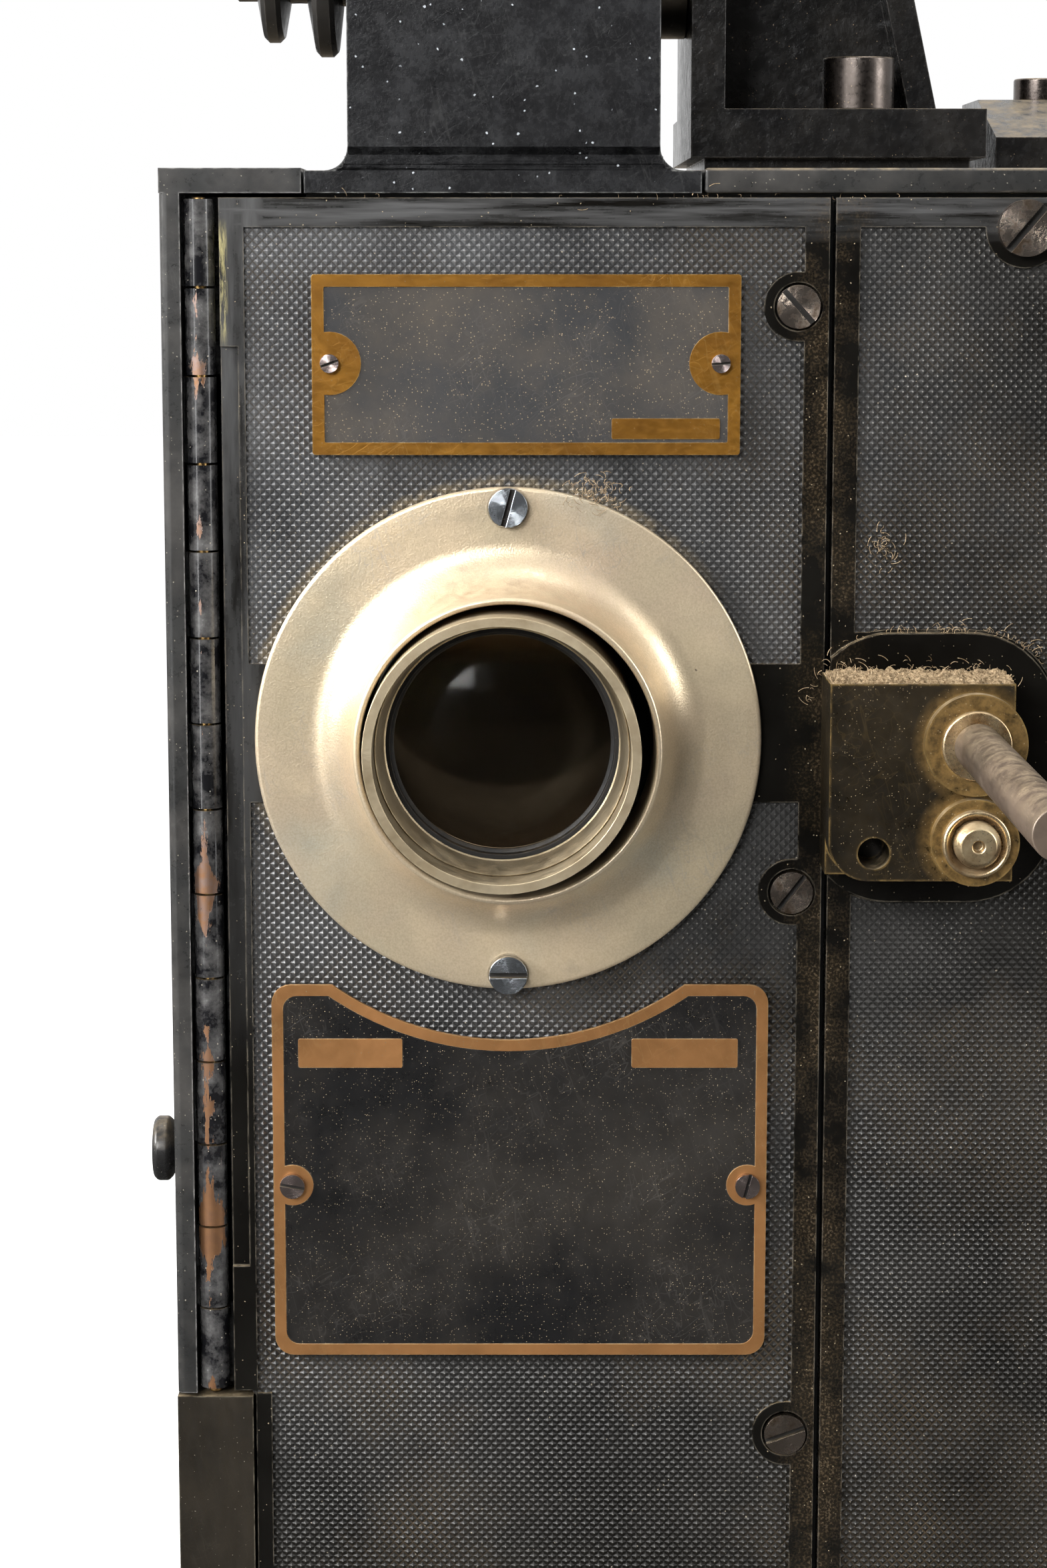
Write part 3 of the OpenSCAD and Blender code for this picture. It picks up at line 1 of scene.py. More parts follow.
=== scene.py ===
import bpy
import json
import math
import random
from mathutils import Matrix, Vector

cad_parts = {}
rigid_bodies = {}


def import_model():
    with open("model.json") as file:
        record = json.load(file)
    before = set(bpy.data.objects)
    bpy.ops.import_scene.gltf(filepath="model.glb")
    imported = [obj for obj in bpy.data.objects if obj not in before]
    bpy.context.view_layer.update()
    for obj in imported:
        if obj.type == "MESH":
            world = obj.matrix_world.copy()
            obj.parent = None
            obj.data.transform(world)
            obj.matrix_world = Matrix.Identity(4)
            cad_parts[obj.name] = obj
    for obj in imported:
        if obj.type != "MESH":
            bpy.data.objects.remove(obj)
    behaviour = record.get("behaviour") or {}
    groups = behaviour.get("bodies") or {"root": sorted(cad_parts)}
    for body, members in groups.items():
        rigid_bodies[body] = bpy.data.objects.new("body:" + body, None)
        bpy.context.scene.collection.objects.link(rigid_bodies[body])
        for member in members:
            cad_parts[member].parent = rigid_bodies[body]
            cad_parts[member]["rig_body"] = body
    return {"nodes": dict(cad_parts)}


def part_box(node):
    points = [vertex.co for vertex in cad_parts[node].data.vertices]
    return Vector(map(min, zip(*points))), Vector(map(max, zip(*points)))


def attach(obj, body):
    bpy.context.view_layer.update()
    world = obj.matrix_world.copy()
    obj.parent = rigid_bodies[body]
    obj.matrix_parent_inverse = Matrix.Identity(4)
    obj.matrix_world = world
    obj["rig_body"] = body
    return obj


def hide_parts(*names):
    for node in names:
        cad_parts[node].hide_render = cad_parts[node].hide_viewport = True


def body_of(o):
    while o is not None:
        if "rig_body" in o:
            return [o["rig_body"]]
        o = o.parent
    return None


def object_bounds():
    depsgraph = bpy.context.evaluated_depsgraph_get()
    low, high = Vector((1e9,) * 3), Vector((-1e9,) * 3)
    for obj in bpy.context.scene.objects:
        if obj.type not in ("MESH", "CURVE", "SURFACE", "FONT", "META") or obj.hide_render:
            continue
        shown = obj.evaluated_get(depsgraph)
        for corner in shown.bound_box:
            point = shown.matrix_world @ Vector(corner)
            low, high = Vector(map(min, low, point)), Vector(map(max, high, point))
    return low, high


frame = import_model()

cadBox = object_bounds()
mm = 0.001
random.seed(35)
print("frame loaded:", len(frame["nodes"]), "nodes")


# Working helpers

def deselectAll():
    for each in list(bpy.context.selected_objects):
        each.select_set(False)


def pick(piece):
    deselectAll()
    piece.select_set(True)
    bpy.context.view_layer.objects.active = piece


def settle(piece, name=None):  # puts the piece's place into its mesh
    pick(piece)
    bpy.ops.object.transform_apply(location=True, rotation=True, scale=True)
    if name:
        piece.name = name
        piece.data.name = name
    return piece


def show(thing):
    bpy.context.scene.collection.objects.link(thing)
    return thing


def selectAll():
    bpy.ops.mesh.select_all(action="SELECT")


def editAll(piece, kind="FACE"):
    pick(piece)
    bpy.ops.object.mode_set(mode="EDIT")
    bpy.ops.mesh.select_mode(type=kind)
    selectAll()


def editFaces(piece, test):  # edit mode with the faces that pass the test, by centre and normal
    pick(piece)
    bpy.ops.object.mode_set(mode="EDIT")
    bpy.ops.mesh.select_mode(type="FACE")
    bpy.ops.mesh.select_all(action="DESELECT")
    bpy.ops.object.mode_set(mode="OBJECT")
    for face in piece.data.polygons:
        face.select = test(face.center, face.normal)
    bpy.ops.object.mode_set(mode="EDIT")


def objectMode():
    bpy.ops.object.mode_set(mode="OBJECT")


def modify(piece, kind, **values):
    step = piece.modifiers.new(kind.title(), kind)
    for key, value in values.items():
        setattr(step, key, value)
    pick(piece)
    bpy.ops.object.modifier_apply(modifier=step.name)


def smoothed(piece, angle=35):
    pick(piece)
    bpy.ops.object.shade_smooth_by_angle(angle=math.radians(angle))
    return piece


def softEdges(piece, width, segments=2, angle=32):  # rounds the sharp edges and evens the shading
    modify(piece, "BEVEL", width=width, segments=segments, limit_method="ANGLE",
           angle_limit=math.radians(angle), use_clamp_overlap=True)
    smoothed(piece, 40)
    modify(piece, "WEIGHTED_NORMAL", keep_sharp=True, weight=70)
    return piece


def extrude(*move):
    bpy.ops.mesh.extrude_region_move(TRANSFORM_OT_translate={"value": move})


def outward(piece, kind="FACE"):
    editAll(piece, kind)
    bpy.ops.mesh.remove_doubles(threshold=0.002 * mm)
    bpy.ops.mesh.normals_make_consistent(inside=False)
    objectMode()
    return piece


def joinAll(first, others):
    pick(first)
    for each in others:
        each.select_set(True)
    bpy.ops.object.join()
    return first


def cutAway(piece, tool):
    modify(piece, "BOOLEAN", operation="DIFFERENCE", object=tool, solver="EXACT")
    bpy.data.objects.remove(tool, do_unlink=True)
    return piece


def formed(add, name, scale=(1, 1, 1), **values):  # a new primitive, its place and scale in its mesh
    deselectAll()
    add(**values)
    piece = bpy.context.object
    piece.scale = scale
    return settle(piece, name)


def rodY(name, x, z, y0, y1, radius, sides=32):  # a round bar along the lens axis
    return formed(bpy.ops.mesh.primitive_cylinder_add, name, vertices=sides, radius=radius,
                  depth=abs(y1 - y0), location=(x, (y0 + y1) / 2, z), rotation=(math.pi / 2, 0, 0))


def spunY(name, profile, x, z, steps=96):  # a turned piece about the lens direction, from (radius, y)
    piece = formed(bpy.ops.mesh.primitive_plane_add, name, size=1, location=(x, 0, z))
    editAll(piece, "VERT")
    bpy.ops.mesh.delete(type="VERT")
    objectMode()
    points = [(x + r, y, z) for r, y in [*profile, profile[0]]]
    piece.data.from_pydata(points, [(i, i + 1) for i in range(len(profile))], [])
    editAll(piece, "VERT")
    bpy.ops.mesh.spin(steps=steps, angle=2 * math.pi, center=(x, 0, z), axis=(0, 1, 0))
    objectMode()
    return smoothed(outward(piece, "VERT"), 35)


def extent(points, axes=3):  # low and high corners
    return tuple(tuple(kind(point[i] for point in points) for i in range(axes)) for kind in (min, max))


def secondFinish(piece, material, test):  # a second material, for the faces that pass the test
    piece.data.materials.append(material)
    for face in piece.data.polygons:
        if test(face.center, face.normal):
            face.material_index = 1


def between(low, high):  # the middle of two corners
    return [(first + second) / 2 for first, second in zip(low, high)]


def arc(cx, cy, radius, start, end, count):  # points of an arc, angles in degrees
    return [(cx + radius * math.cos(math.radians(start + (end - start) * i / count)),
             cy + radius * math.sin(math.radians(start + (end - start) * i / count)))
            for i in range(count + 1)]


# Node helpers: each adds to the tree that was opened last

work = {}


def wire(node, key, value):  # links a socket, or sets a plain value
    if isinstance(value, bpy.types.NodeSocket):
        work["tree"].links.new(value, node.inputs[key])
    else:
        node.inputs[key].default_value = value


def addNode(kind, inputs=None, **values):
    node = work["tree"].nodes.new("ShaderNode" + kind)
    for key, value in values.items():
        setattr(node, key, value)
    for key, value in (inputs or {}).items():
        wire(node, key, value)
    return node


def calc(operation, first, second=0.0, clamp=False):
    return addNode("Math", {0: first, 1: second}, operation=operation, use_clamp=clamp).outputs[0]


def times(first, second, clamp=False):
    return calc("MULTIPLY", first, second, clamp)


def plus(first, second, clamp=False):
    return calc("ADD", first, second, clamp)


def minus(first, second):
    return calc("SUBTRACT", first, second)


def larger(first, second):
    return calc("MAXIMUM", first, second)


def apart(first, second):
    return calc("ABSOLUTE", minus(first, second))


def ranged(value, low, high, outLow=0.0, outHigh=1.0):
    return addNode("MapRange", {"Value": value, "From Min": low, "From Max": high,
                                "To Min": outLow, "To Max": outHigh}).outputs[0]


def mixed(factor, first, second):  # plain colours are given as three parts
    first, second = [(*each, 1) if isinstance(each, tuple) else each for each in (first, second)]
    return addNode("Mix", {0: factor, 6: first, 7: second}, data_type="RGBA").outputs[2]


def layered(colour, *coats):  # lays (mask, colour) pairs over a colour, in turn
    for mask, coat in coats:
        colour = mixed(mask, colour, coat)
    return colour


def here():
    return addNode("TexCoord").outputs["Object"]


def stretched(scale, vector=None):
    return addNode("Mapping", {"Vector": vector or here(), "Scale": scale}).outputs[0]


def partsOf(vector=None):
    return addNode("SeparateXYZ", {0: vector or here()}).outputs


def longness(vector):
    return addNode("VectorMath", {0: vector}, operation="LENGTH").outputs["Value"]


def fromAxis(parts, x, z):  # distance from a line along the lens direction
    return longness(addNode("CombineXYZ", {0: minus(parts["X"], x), 2: minus(parts["Z"], z)}).outputs[0])


def noise(scale, detail=3.0, rough=0.55, vector=None):
    return addNode("TexNoise", {"Scale": scale, "Detail": detail, "Roughness": rough,
                                "Vector": vector or here()}).outputs[0]


def cloud(scale, detail, rough, low, high, outLow=0.0, outHigh=1.0):
    return ranged(noise(scale, detail, rough), low, high, outLow, outHigh)


def newGroup(name, inputs, outputs):
    tree = work["tree"] = bpy.data.node_groups.new(name, "ShaderNodeTree")
    for key, value in inputs.items():
        tree.interface.new_socket(key, in_out="INPUT", socket_type="NodeSocketFloat").default_value = value
    for key in outputs:
        tree.interface.new_socket(key, in_out="OUTPUT", socket_type="NodeSocketFloat")
    return tree, tree.nodes.new("NodeGroupInput").outputs, tree.nodes.new("NodeGroupOutput")


def placed(group, **inputs):
    node = addNode("Group", node_tree=group)
    for key, value in inputs.items():
        wire(node, key, value)
    return node.outputs


def maskOf(group, **inputs):
    return placed(group, **inputs)["Mask"]


def newFinish(name):
    material = bpy.data.materials.new(name)
    material.use_nodes = True
    work["tree"] = material.node_tree
    return material, material.node_tree.nodes["Principled BSDF"]


def addBump(shader, height, distance, strength=0.6):
    bump = addNode("Bump", {"Height": height, "Distance": distance, "Strength": strength})
    wire(shader, "Normal", bump.outputs[0])


# Effects that several finishes share

def edgeRubGroup():  # where the rounded normal leaves the flat one
    tree, given, out = newGroup("edgeRub", {"Radius": 0.6 * mm, "Amount": 1.0, "Breakup": 350.0}, ["Mask"])
    rounded = addNode("Bevel", {"Radius": given["Radius"]}, samples=4).outputs[0]
    flat = addNode("NewGeometry").outputs["Normal"]
    same = addNode("VectorMath", {0: rounded, 1: flat}, operation="DOT_PRODUCT").outputs["Value"]
    patchy = ranged(noise(given["Breakup"], 4.0, 0.65), 0.38, 0.62)
    wire(out, "Mask", times(times(ranged(same, 0.995, 0.86), patchy), given["Amount"], True))
    return tree


def settledDustGroup():  # on what faces up
    tree, given, out = newGroup("settledDust", {"Amount": 0.5, "Scale": 260.0}, ["Mask"])
    facing = ranged(partsOf(addNode("NewGeometry").outputs["Normal"])["Z"], 0.15, 0.95)
    clumps = ranged(noise(given["Scale"], 5.0, 0.7), 0.35, 0.7)
    wire(out, "Mask", times(times(facing, clumps), given["Amount"], True))
    return tree


def mottleGroup():
    tree, given, out = newGroup("mottle", {"Scale": 60.0, "Sharpness": 0.25, "StretchX": 1.0, "StretchY": 1.0,
                                           "StretchZ": 1.0}, ["Mask", "Fine"])
    point = stretched(addNode("CombineXYZ", {axis: given["Stretch" + axis] for axis in "XYZ"}).outputs[0])
    large = noise(given["Scale"], 5.0, 0.62, point)
    wire(out, "Mask", ranged(large, minus(0.5, given["Sharpness"]), plus(0.5, given["Sharpness"])))
    wire(out, "Fine", noise(times(given["Scale"], 9.0), 5.0, 0.7, point))
    return tree


def speckGroup():  # ragged flecks of several sizes, in a share of the cells
    tree, given, out = newGroup("specks", {"Scale": 500.0, "Size": 0.12, "Share": 0.3}, ["Mask"])
    cells = addNode("TexVoronoi", {"Vector": here(), "Scale": given["Scale"]}).outputs
    ragged = noise(times(given["Scale"], 2.6), 2.0, 0.6)
    away = plus(cells["Distance"], times(minus(ragged, 0.5), 0.5))
    lots = addNode("SeparateColor", {0: cells["Color"]}).outputs
    reach = times(given["Size"], ranged(lots[1], 0, 1, 0.25, 1.35))
    dot = ranged(away, reach, times(reach, 0.5))
    wire(out, "Mask", times(dot, calc("LESS_THAN", lots[0], given["Share"])))
    return tree


def scratchGroup():  # long thin lines in three directions, in patches
    tree, given, out = newGroup("scratches", {"Scale": 90.0, "Stretch": 14.0, "Amount": 0.5}, ["Mask"])
    total = None
    for turn in (0.5, -0.9, 1.9):
        parts = partsOf(addNode("Mapping", {"Vector": here(), "Rotation": (0.3, turn, 0.4)}).outputs[0])
        drawnOut = calc("DIVIDE", parts[0], given["Stretch"])
        point = addNode("CombineXYZ", {0: drawnOut, 1: parts[1], 2: parts[2]}).outputs[0]
        lines = noise(times(given["Scale"], 8.0), 1.0, 0.5, point)
        thin = ranged(apart(lines, 0.5), 0.012, 0.002)
        total = larger(total, thin) if total else thin
    where = ranged(noise(given["Scale"], 2.0), 0.48, 0.66)
    wire(out, "Mask", times(times(total, where), given["Amount"], True))
    return tree


edgeRub = edgeRubGroup()
settledDust = settledDustGroup()
mottle = mottleGroup()
specks = speckGroup()
scratches = scratchGroup()


# Finishes: each dictionary holds what a restorer would talk about

dustTan = (0.3, 0.23, 0.14)
usual = dict(
    colour=(0.008, 0.008, 0.0085), second=(0.018, 0.0175, 0.017), patch=45.0, sharp=0.2, stretch=(1, 1, 1),
    metal=0.0, rough=0.28, roughVary=0.08, specular=0.4, wear=(0.1, 0.09, 0.08), wearRadius=0.5 * mm, wearAmount=0.8,
    wearBreakup=350.0, dust=dustTan, dustAmount=0.6, dustScale=260.0, haze=(0.05, 0.044, 0.036), hazeAmount=0.3,
    hazeScale=38.0, speck=(0.22, 0.2, 0.16), speckScale=1400.0, speckSize=0.16, speckShare=0.16, scratch=0.12,
    grain=700.0, grainHeight=0.02, coat=0.0, bosses=[], bossColour=(0.15, 0.09, 0.028))
finishes = {
    "japannedBlack": dict(hazeAmount=0.4, speckShare=0.2),
    "towerBlack": dict(
        colour=(0.005, 0.005, 0.0055), second=(0.009, 0.009, 0.0095), patch=85.0, haze=(0.05, 0.052, 0.055),
        hazeAmount=0.25, hazeScale=130.0, speckScale=800.0, speckShare=0.2, speck=(0.34, 0.36, 0.38), rough=0.24,
        specular=0.24, wear=(0.22, 0.22, 0.21), wearAmount=1.0, grain=1500.0, grainHeight=0.06),
    "rubbedBlack": dict(
        colour=(0.006, 0.006, 0.006), second=(0.03, 0.03, 0.029), patch=55.0, stretch=(1, 1, 1.3), sharp=0.4,
        rough=0.3, haze=(0.1, 0.09, 0.08), hazeAmount=0.4, hazeScale=60.0, wear=(0.26, 0.25, 0.24), wearAmount=1.0,
        speckShare=0.3, dustAmount=0.8, specular=0.3),
    "postBlack": dict(
        colour=(0.005, 0.0045, 0.0035), second=(0.016, 0.013, 0.009), patch=30.0, stretch=(3, 3, 0.8),
        haze=(0.04, 0.03, 0.018), hazeAmount=0.35, rough=0.36, grain=420.0, grainHeight=0.1, speckShare=0.3,
        specular=0.18, wear=(0.16, 0.14, 0.1)),
    "castBlack": dict(
        colour=(0.004, 0.004, 0.0045), second=(0.008, 0.0075, 0.007), rough=0.24, grain=300.0, grainHeight=0.32,
        coat=0.1, specular=0.3, dustAmount=0.9, hazeAmount=0.25, speckShare=0.3, speck=(0.2, 0.15, 0.1)),
    "paintedIron": dict(
        colour=(0.03, 0.031, 0.032), second=(0.05, 0.049, 0.047), rough=0.5, grain=420.0, grainHeight=0.12),
    "brightSteel": dict(
        colour=(0.5, 0.49, 0.47), second=(0.34, 0.32, 0.29), metal=1.0, rough=0.32, wear=(0.66, 0.64, 0.6),
        wearAmount=0.5, patch=120.0, scratch=0.6, speckShare=0.06, speck=(0.12, 0.09, 0.06), hazeAmount=0.25),
    "nutSteel": dict(
        colour=(0.13, 0.11, 0.1), second=(0.05, 0.042, 0.036), metal=1.0, rough=0.26, wear=(0.5, 0.46, 0.42),
        patch=120.0, speckShare=0.3, speck=(0.3, 0.22, 0.14), dustAmount=0.8, scratch=0.6),
    "gearBrass": dict(
        colour=(0.5, 0.33, 0.12), second=(0.34, 0.2, 0.08), metal=1.0, rough=0.34, wear=(0.72, 0.54, 0.26),
        patch=90.0, speckShare=0.06, speck=(0.1, 0.06, 0.03), hazeAmount=0.2),
    "bushBrass": dict(
        colour=(0.74, 0.6, 0.37), second=(0.3, 0.18, 0.08), metal=0.9, rough=0.26, wear=(0.8, 0.7, 0.5),
        wearAmount=1.0, patch=160.0, dustAmount=0.8),
    "shaftSteel": dict(
        colour=(0.12, 0.09, 0.068), second=(0.035, 0.026, 0.02), metal=0.4, rough=0.36, patch=44.0,
        stretch=(1, 0.35, 1), sharp=0.07, wear=(0.26, 0.21, 0.16), speckShare=0.3,
        speck=(0.3, 0.25, 0.18), scratch=0.1, hazeAmount=0.25, haze=(0.16, 0.1, 0.07)),
    "nickelled": dict(
        colour=(0.66, 0.6, 0.48), second=(0.55, 0.48, 0.36), metal=1.0, rough=0.36, wear=(0.78, 0.72, 0.6),
        wearAmount=0.4, patch=30.0, speckShare=0.05, speck=(0.16, 0.12, 0.08), scratch=0.5, dustAmount=0.4,
        hazeAmount=0.1),
    "barrelNickel": dict(
        colour=(0.42, 0.35, 0.24), second=(0.26, 0.2, 0.12), metal=0.85, rough=0.42, wear=(0.8, 0.68, 0.45),
        wearAmount=0.7, patch=120.0, speckShare=0.4, speck=(0.3, 0.23, 0.14), speckScale=1500.0, dustAmount=0.7,
        haze=(0.4, 0.34, 0.24), hazeAmount=0.4),
    "cellBlack": dict(
        colour=(0.003, 0.003, 0.003), second=(0.007, 0.006, 0.005), rough=0.5, wear=(0.05, 0.04, 0.03),
        speckShare=0.06, speck=(0.08, 0.06, 0.04), dustAmount=0.3, hazeAmount=0.05),
    "plateGold": dict(
        colour=(0.27, 0.125, 0.016), second=(0.15, 0.065, 0.009), metal=0.75, rough=0.36, wear=(0.6, 0.42, 0.16),
        wearRadius=0.25 * mm, patch=60.0, stretch=(1, 1, 2), speckShare=0.4, speck=(0.16, 0.09, 0.03), scratch=0.2,
        hazeAmount=0.0),
    "plateCopper": dict(
        colour=(0.36, 0.17, 0.062), second=(0.22, 0.105, 0.036), metal=0.65, rough=0.4, wear=(0.56, 0.4, 0.18),
        wearRadius=0.3 * mm, speckShare=0.3, speck=(0.2, 0.13, 0.06), scratch=0.2, hazeAmount=0.0),
    "fieldGrey": dict(
        colour=(0.015, 0.0155, 0.017), second=(0.03, 0.029, 0.029), rough=0.5, patch=40.0, speckShare=0.4,
        speck=(0.22, 0.17, 0.11), speckSize=0.3, speckScale=2600.0, haze=(0.11, 0.085, 0.055), specular=0.25,
        hazeAmount=0.5, hazeScale=24.0, scratch=0.5),
    "fieldBlack": dict(
        colour=(0.004, 0.004, 0.0045), second=(0.009, 0.0085, 0.008), rough=0.3, patch=22.0, sharp=0.4,
        speckShare=0.45, speck=(0.32, 0.26, 0.17), speckSize=0.28, speckScale=2200.0, specular=0.3,
        haze=(0.035, 0.028, 0.02), hazeAmount=0.5, hazeScale=22.0, scratch=0.4),
    "gripWood": dict(
        colour=(0.1, 0.045, 0.02), second=(0.18, 0.09, 0.04), rough=0.34, coat=0.4, patch=70.0, stretch=(0.18, 3, 3),
        hazeAmount=0.1),
}


def agedFinish(name, **changes):
    look = {**usual, **changes}
    material, shader = newFinish(name)
    across, deep, tall = look["stretch"]
    patches = placed(mottle, Scale=look["patch"], Sharpness=look["sharp"], StretchX=across, StretchY=deep,
                     StretchZ=tall)
    rub = maskOf(edgeRub, Radius=look["wearRadius"], Amount=look["wearAmount"],
                 Breakup=look["wearBreakup"])
    dust = maskOf(settledDust, Amount=look["dustAmount"], Scale=look["dustScale"])
    dots = maskOf(specks, Scale=look["speckScale"], Size=look["speckSize"], Share=look["speckShare"])
    marks = maskOf(scratches, Scale=45.0, Stretch=60.0, Amount=look["scratch"])
    haze = cloud(look["hazeScale"], 7.0, 0.68, 0.42, 0.78, 0, look["hazeAmount"])
    colour = layered(look["colour"], (patches["Mask"], look["second"]), (haze, look["haze"]))
    for x, z, reach in look["bosses"]:  # handled metal round a boss shows its brass
        near = times(ranged(fromAxis(partsOf(), x, z), reach * 1.25, reach * 0.9),
                     ranged(patches["Fine"], 0.3, 0.62, 0.15, 1.0))
        colour = mixed(near, colour, look["bossColour"])
    wire(shader, "Base Color", layered(colour, (rub, look["wear"]), (times(marks, 0.35), look["wear"]),
                                       (dots, look["speck"]), (dust, look["dust"])))
    rough = ranged(patches["Fine"], 0.3, 0.7, look["rough"] - look["roughVary"],
                   look["rough"] + look["roughVary"])
    wire(shader, "Roughness", plus(rough, times(larger(dust, haze), 0.4), True))
    if look["metal"] > 0:
        wire(shader, "Metallic", times(minus(1.0, larger(dust, dots)), look["metal"]))
    wire(shader, "Coat Weight", look["coat"])
    wire(shader, "Specular IOR Level", look["specular"])
    height = minus(times(noise(look["grain"], 4.0, 0.6), look["grainHeight"]), times(marks, 0.04))
    addBump(shader, plus(height, times(dust, 0.15)), 1.0 * mm, 0.8)
    return material


def clearGlass(name, tint, rough, bend=1.5):
    material, shader = newFinish(name)
    wire(shader, "Transmission Weight", 1.0)
    wire(shader, "IOR", bend)
    smudge = cloud(120.0, 5.0, 0.7, 0.45, 0.75)
    wire(shader, "Base Color", mixed(smudge, tint, tuple(0.8 * part for part in tint)))
    wire(shader, "Roughness", ranged(smudge, 0, 1, rough, rough + 0.12))
    return material


finish = {name: agedFinish(name, **changes) for name, changes in finishes.items()}


# Places read from the frame

def midpoint(node):
    return between(*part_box(node))


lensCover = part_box("lens_side_cover")
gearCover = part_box("gear_side_cover")
frontY = lensCover[0].y
collarX, collarZ = midpoint("lens_collar")[::2]
tubeX = midpoint("lens_glass")[0]
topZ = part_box("top_plate")[1].z
seamX = (lensCover[1].x + gearCover[0].x) / 2


# Finishes that follow one piece

covers = {"black": (0.0022, 0.0019, 0.0015), "soft": (0.006, 0.0055, 0.0045), "rubbed": (0.1, 0.1, 0.1),
          "yellow": (0.26, 0.23, 0.11), "brown": (0.13, 0.09, 0.05), "bare": (0.15, 0.13, 0.1),
          "grain": (0.3, 0.24, 0.16), "ribX": -99.9 * mm, "ribZ": 371 * mm}


def coverFinish():  # near-black lands, rubbed grey along the top and the left, dusty brown beside the seam
    material, shader = newFinish("coverBlack")
    parts = partsOf()
    patches = placed(mottle, Scale=40.0, Sharpness=0.2)
    streaks = placed(mottle, Scale=42.0, Sharpness=0.12, StretchX=0.5, StretchZ=9.0)
    upright = placed(mottle, Scale=60.0, Sharpness=0.16, StretchX=3.0, StretchZ=0.35)
    top = ranged(parts["Z"], topZ - 15 * mm, topZ - 9 * mm)
    left = ranged(parts["X"], lensCover[0].x + 11 * mm, lensCover[0].x + 8 * mm)
    high = ranged(parts["Z"], topZ - 190 * mm, topZ - 60 * mm)
    grazed = larger(times(top, streaks["Mask"]), times(times(left, high), upright["Mask"]))
    seam = ranged(apart(parts["X"], seamX), 9 * mm, 1 * mm)
    dirt = times(times(seam, cloud(60.0, 7.0, 0.7, 0.42, 0.7), True),
                 cloud(1700.0, 3.0, 0.6, 0.48, 0.64, 0.1, 0.7))
    rib = times(ranged(apart(parts["X"], covers["ribX"]), 1.3 * mm, 0.5 * mm),
                ranged(apart(parts["Z"], covers["ribZ"]), 13 * mm, 9 * mm))
    rub = maskOf(edgeRub, Radius=0.45 * mm, Amount=0.9, Breakup=240.0)
    dust = maskOf(settledDust, Amount=0.9, Scale=300.0)
    dots = maskOf(specks, Scale=1500.0, Size=0.18, Share=0.12)
    wire(shader, "Base Color", layered(
        covers["black"], (patches["Mask"], covers["soft"]), (times(grazed, 0.55), covers["rubbed"]),
        (times(rib, ranged(upright["Fine"], 0.42, 0.6)), covers["yellow"]), (dirt, covers["brown"]),
        (rub, covers["bare"]), (dots, covers["grain"]), (dust, dustTan)))
    rough = ranged(patches["Fine"], 0.3, 0.7, 0.14, 0.26)
    wire(shader, "Roughness", plus(rough, times(larger(grazed, dirt), 0.25), True))
    band = times(ranged(apart(parts["Z"], collarZ), 26 * mm, 20 * mm),  # deep black to the right of the collar
                 ranged(parts["X"], collarX + 40 * mm, collarX + 45 * mm))
    wire(shader, "Specular IOR Level", ranged(band, 0, 1, 0.2, 0.05))
    addBump(shader, noise(900.0, 4.0), 0.03 * mm)
    return material


hinge = {"flakeAt": -105.2 * mm, "flakeWide": 1.5 * mm, "black": (0.006, 0.006, 0.007), "haze": (0.17, 0.165, 0.16),
         "steel": (0.22, 0.16, 0.14), "copper": (0.2, 0.1, 0.05), "rust": (0.24, 0.12, 0.055),
         "fleck": (0.3, 0.27, 0.22)}


def hingeFinish():  # gloss black that has flaked off the knuckles down to pinkish steel and copper
    material, shader = newFinish("flakedBlack")
    parts = partsOf()
    across = calc("DIVIDE", apart(parts["X"], hinge["flakeAt"]), hinge["flakeWide"])
    ragged = noise(420.0, 5.0, 0.68, stretched((2.4, 1, 0.55)))
    runs = noise(55.0, 2.0, 0.5, stretched((0.2, 0.2, 1)))
    edge = plus(plus(across, times(minus(0.5, ragged), 3.4)), times(minus(0.6, runs), 9.0))
    flaked = times(ranged(edge, 0.62, 0.54), ranged(parts["Y"], frontY + 3 * mm, frontY + 2 * mm))
    lower = ranged(plus(parts["Z"], times(runs, 0.12)), 0.36, 0.26)
    bare = layered(hinge["steel"], (lower, hinge["copper"]), (cloud(500.0, 4.0, 0.55, 0.4, 0.7), hinge["rust"]))
    haze = cloud(160.0, 6.0, 0.7, 0.42, 0.75, 0, 0.7)
    dots = maskOf(specks, Scale=1300.0, Size=0.2, Share=0.16)
    dust = maskOf(settledDust, Amount=0.8, Scale=300.0)
    wire(shader, "Base Color", layered(hinge["black"], (haze, hinge["haze"]), (dots, hinge["fleck"]),
                                       (flaked, bare), (dust, dustTan)))
    wire(shader, "Metallic", times(flaked, 0.7))
    wire(shader, "Roughness", ranged(larger(flaked, haze), 0, 1, 0.12, 0.42))
    addBump(shader, minus(1.0, flaked), 0.06 * mm, 0.8)
    return material


collarLook = {"warm": (0.6, 0.505, 0.35), "pink": (0.61, 0.48, 0.35), "cool": (0.52, 0.5, 0.4),
              "dull": (0.43, 0.34, 0.22), "stain": (0.3, 0.26, 0.2), "sand": (0.36, 0.28, 0.18),
              "mark": (0.34, 0.32, 0.3), "pit": (0.12, 0.09, 0.06), "dust": (0.42, 0.33, 0.2),
              "rough": 0.31, "metal": 0.7}


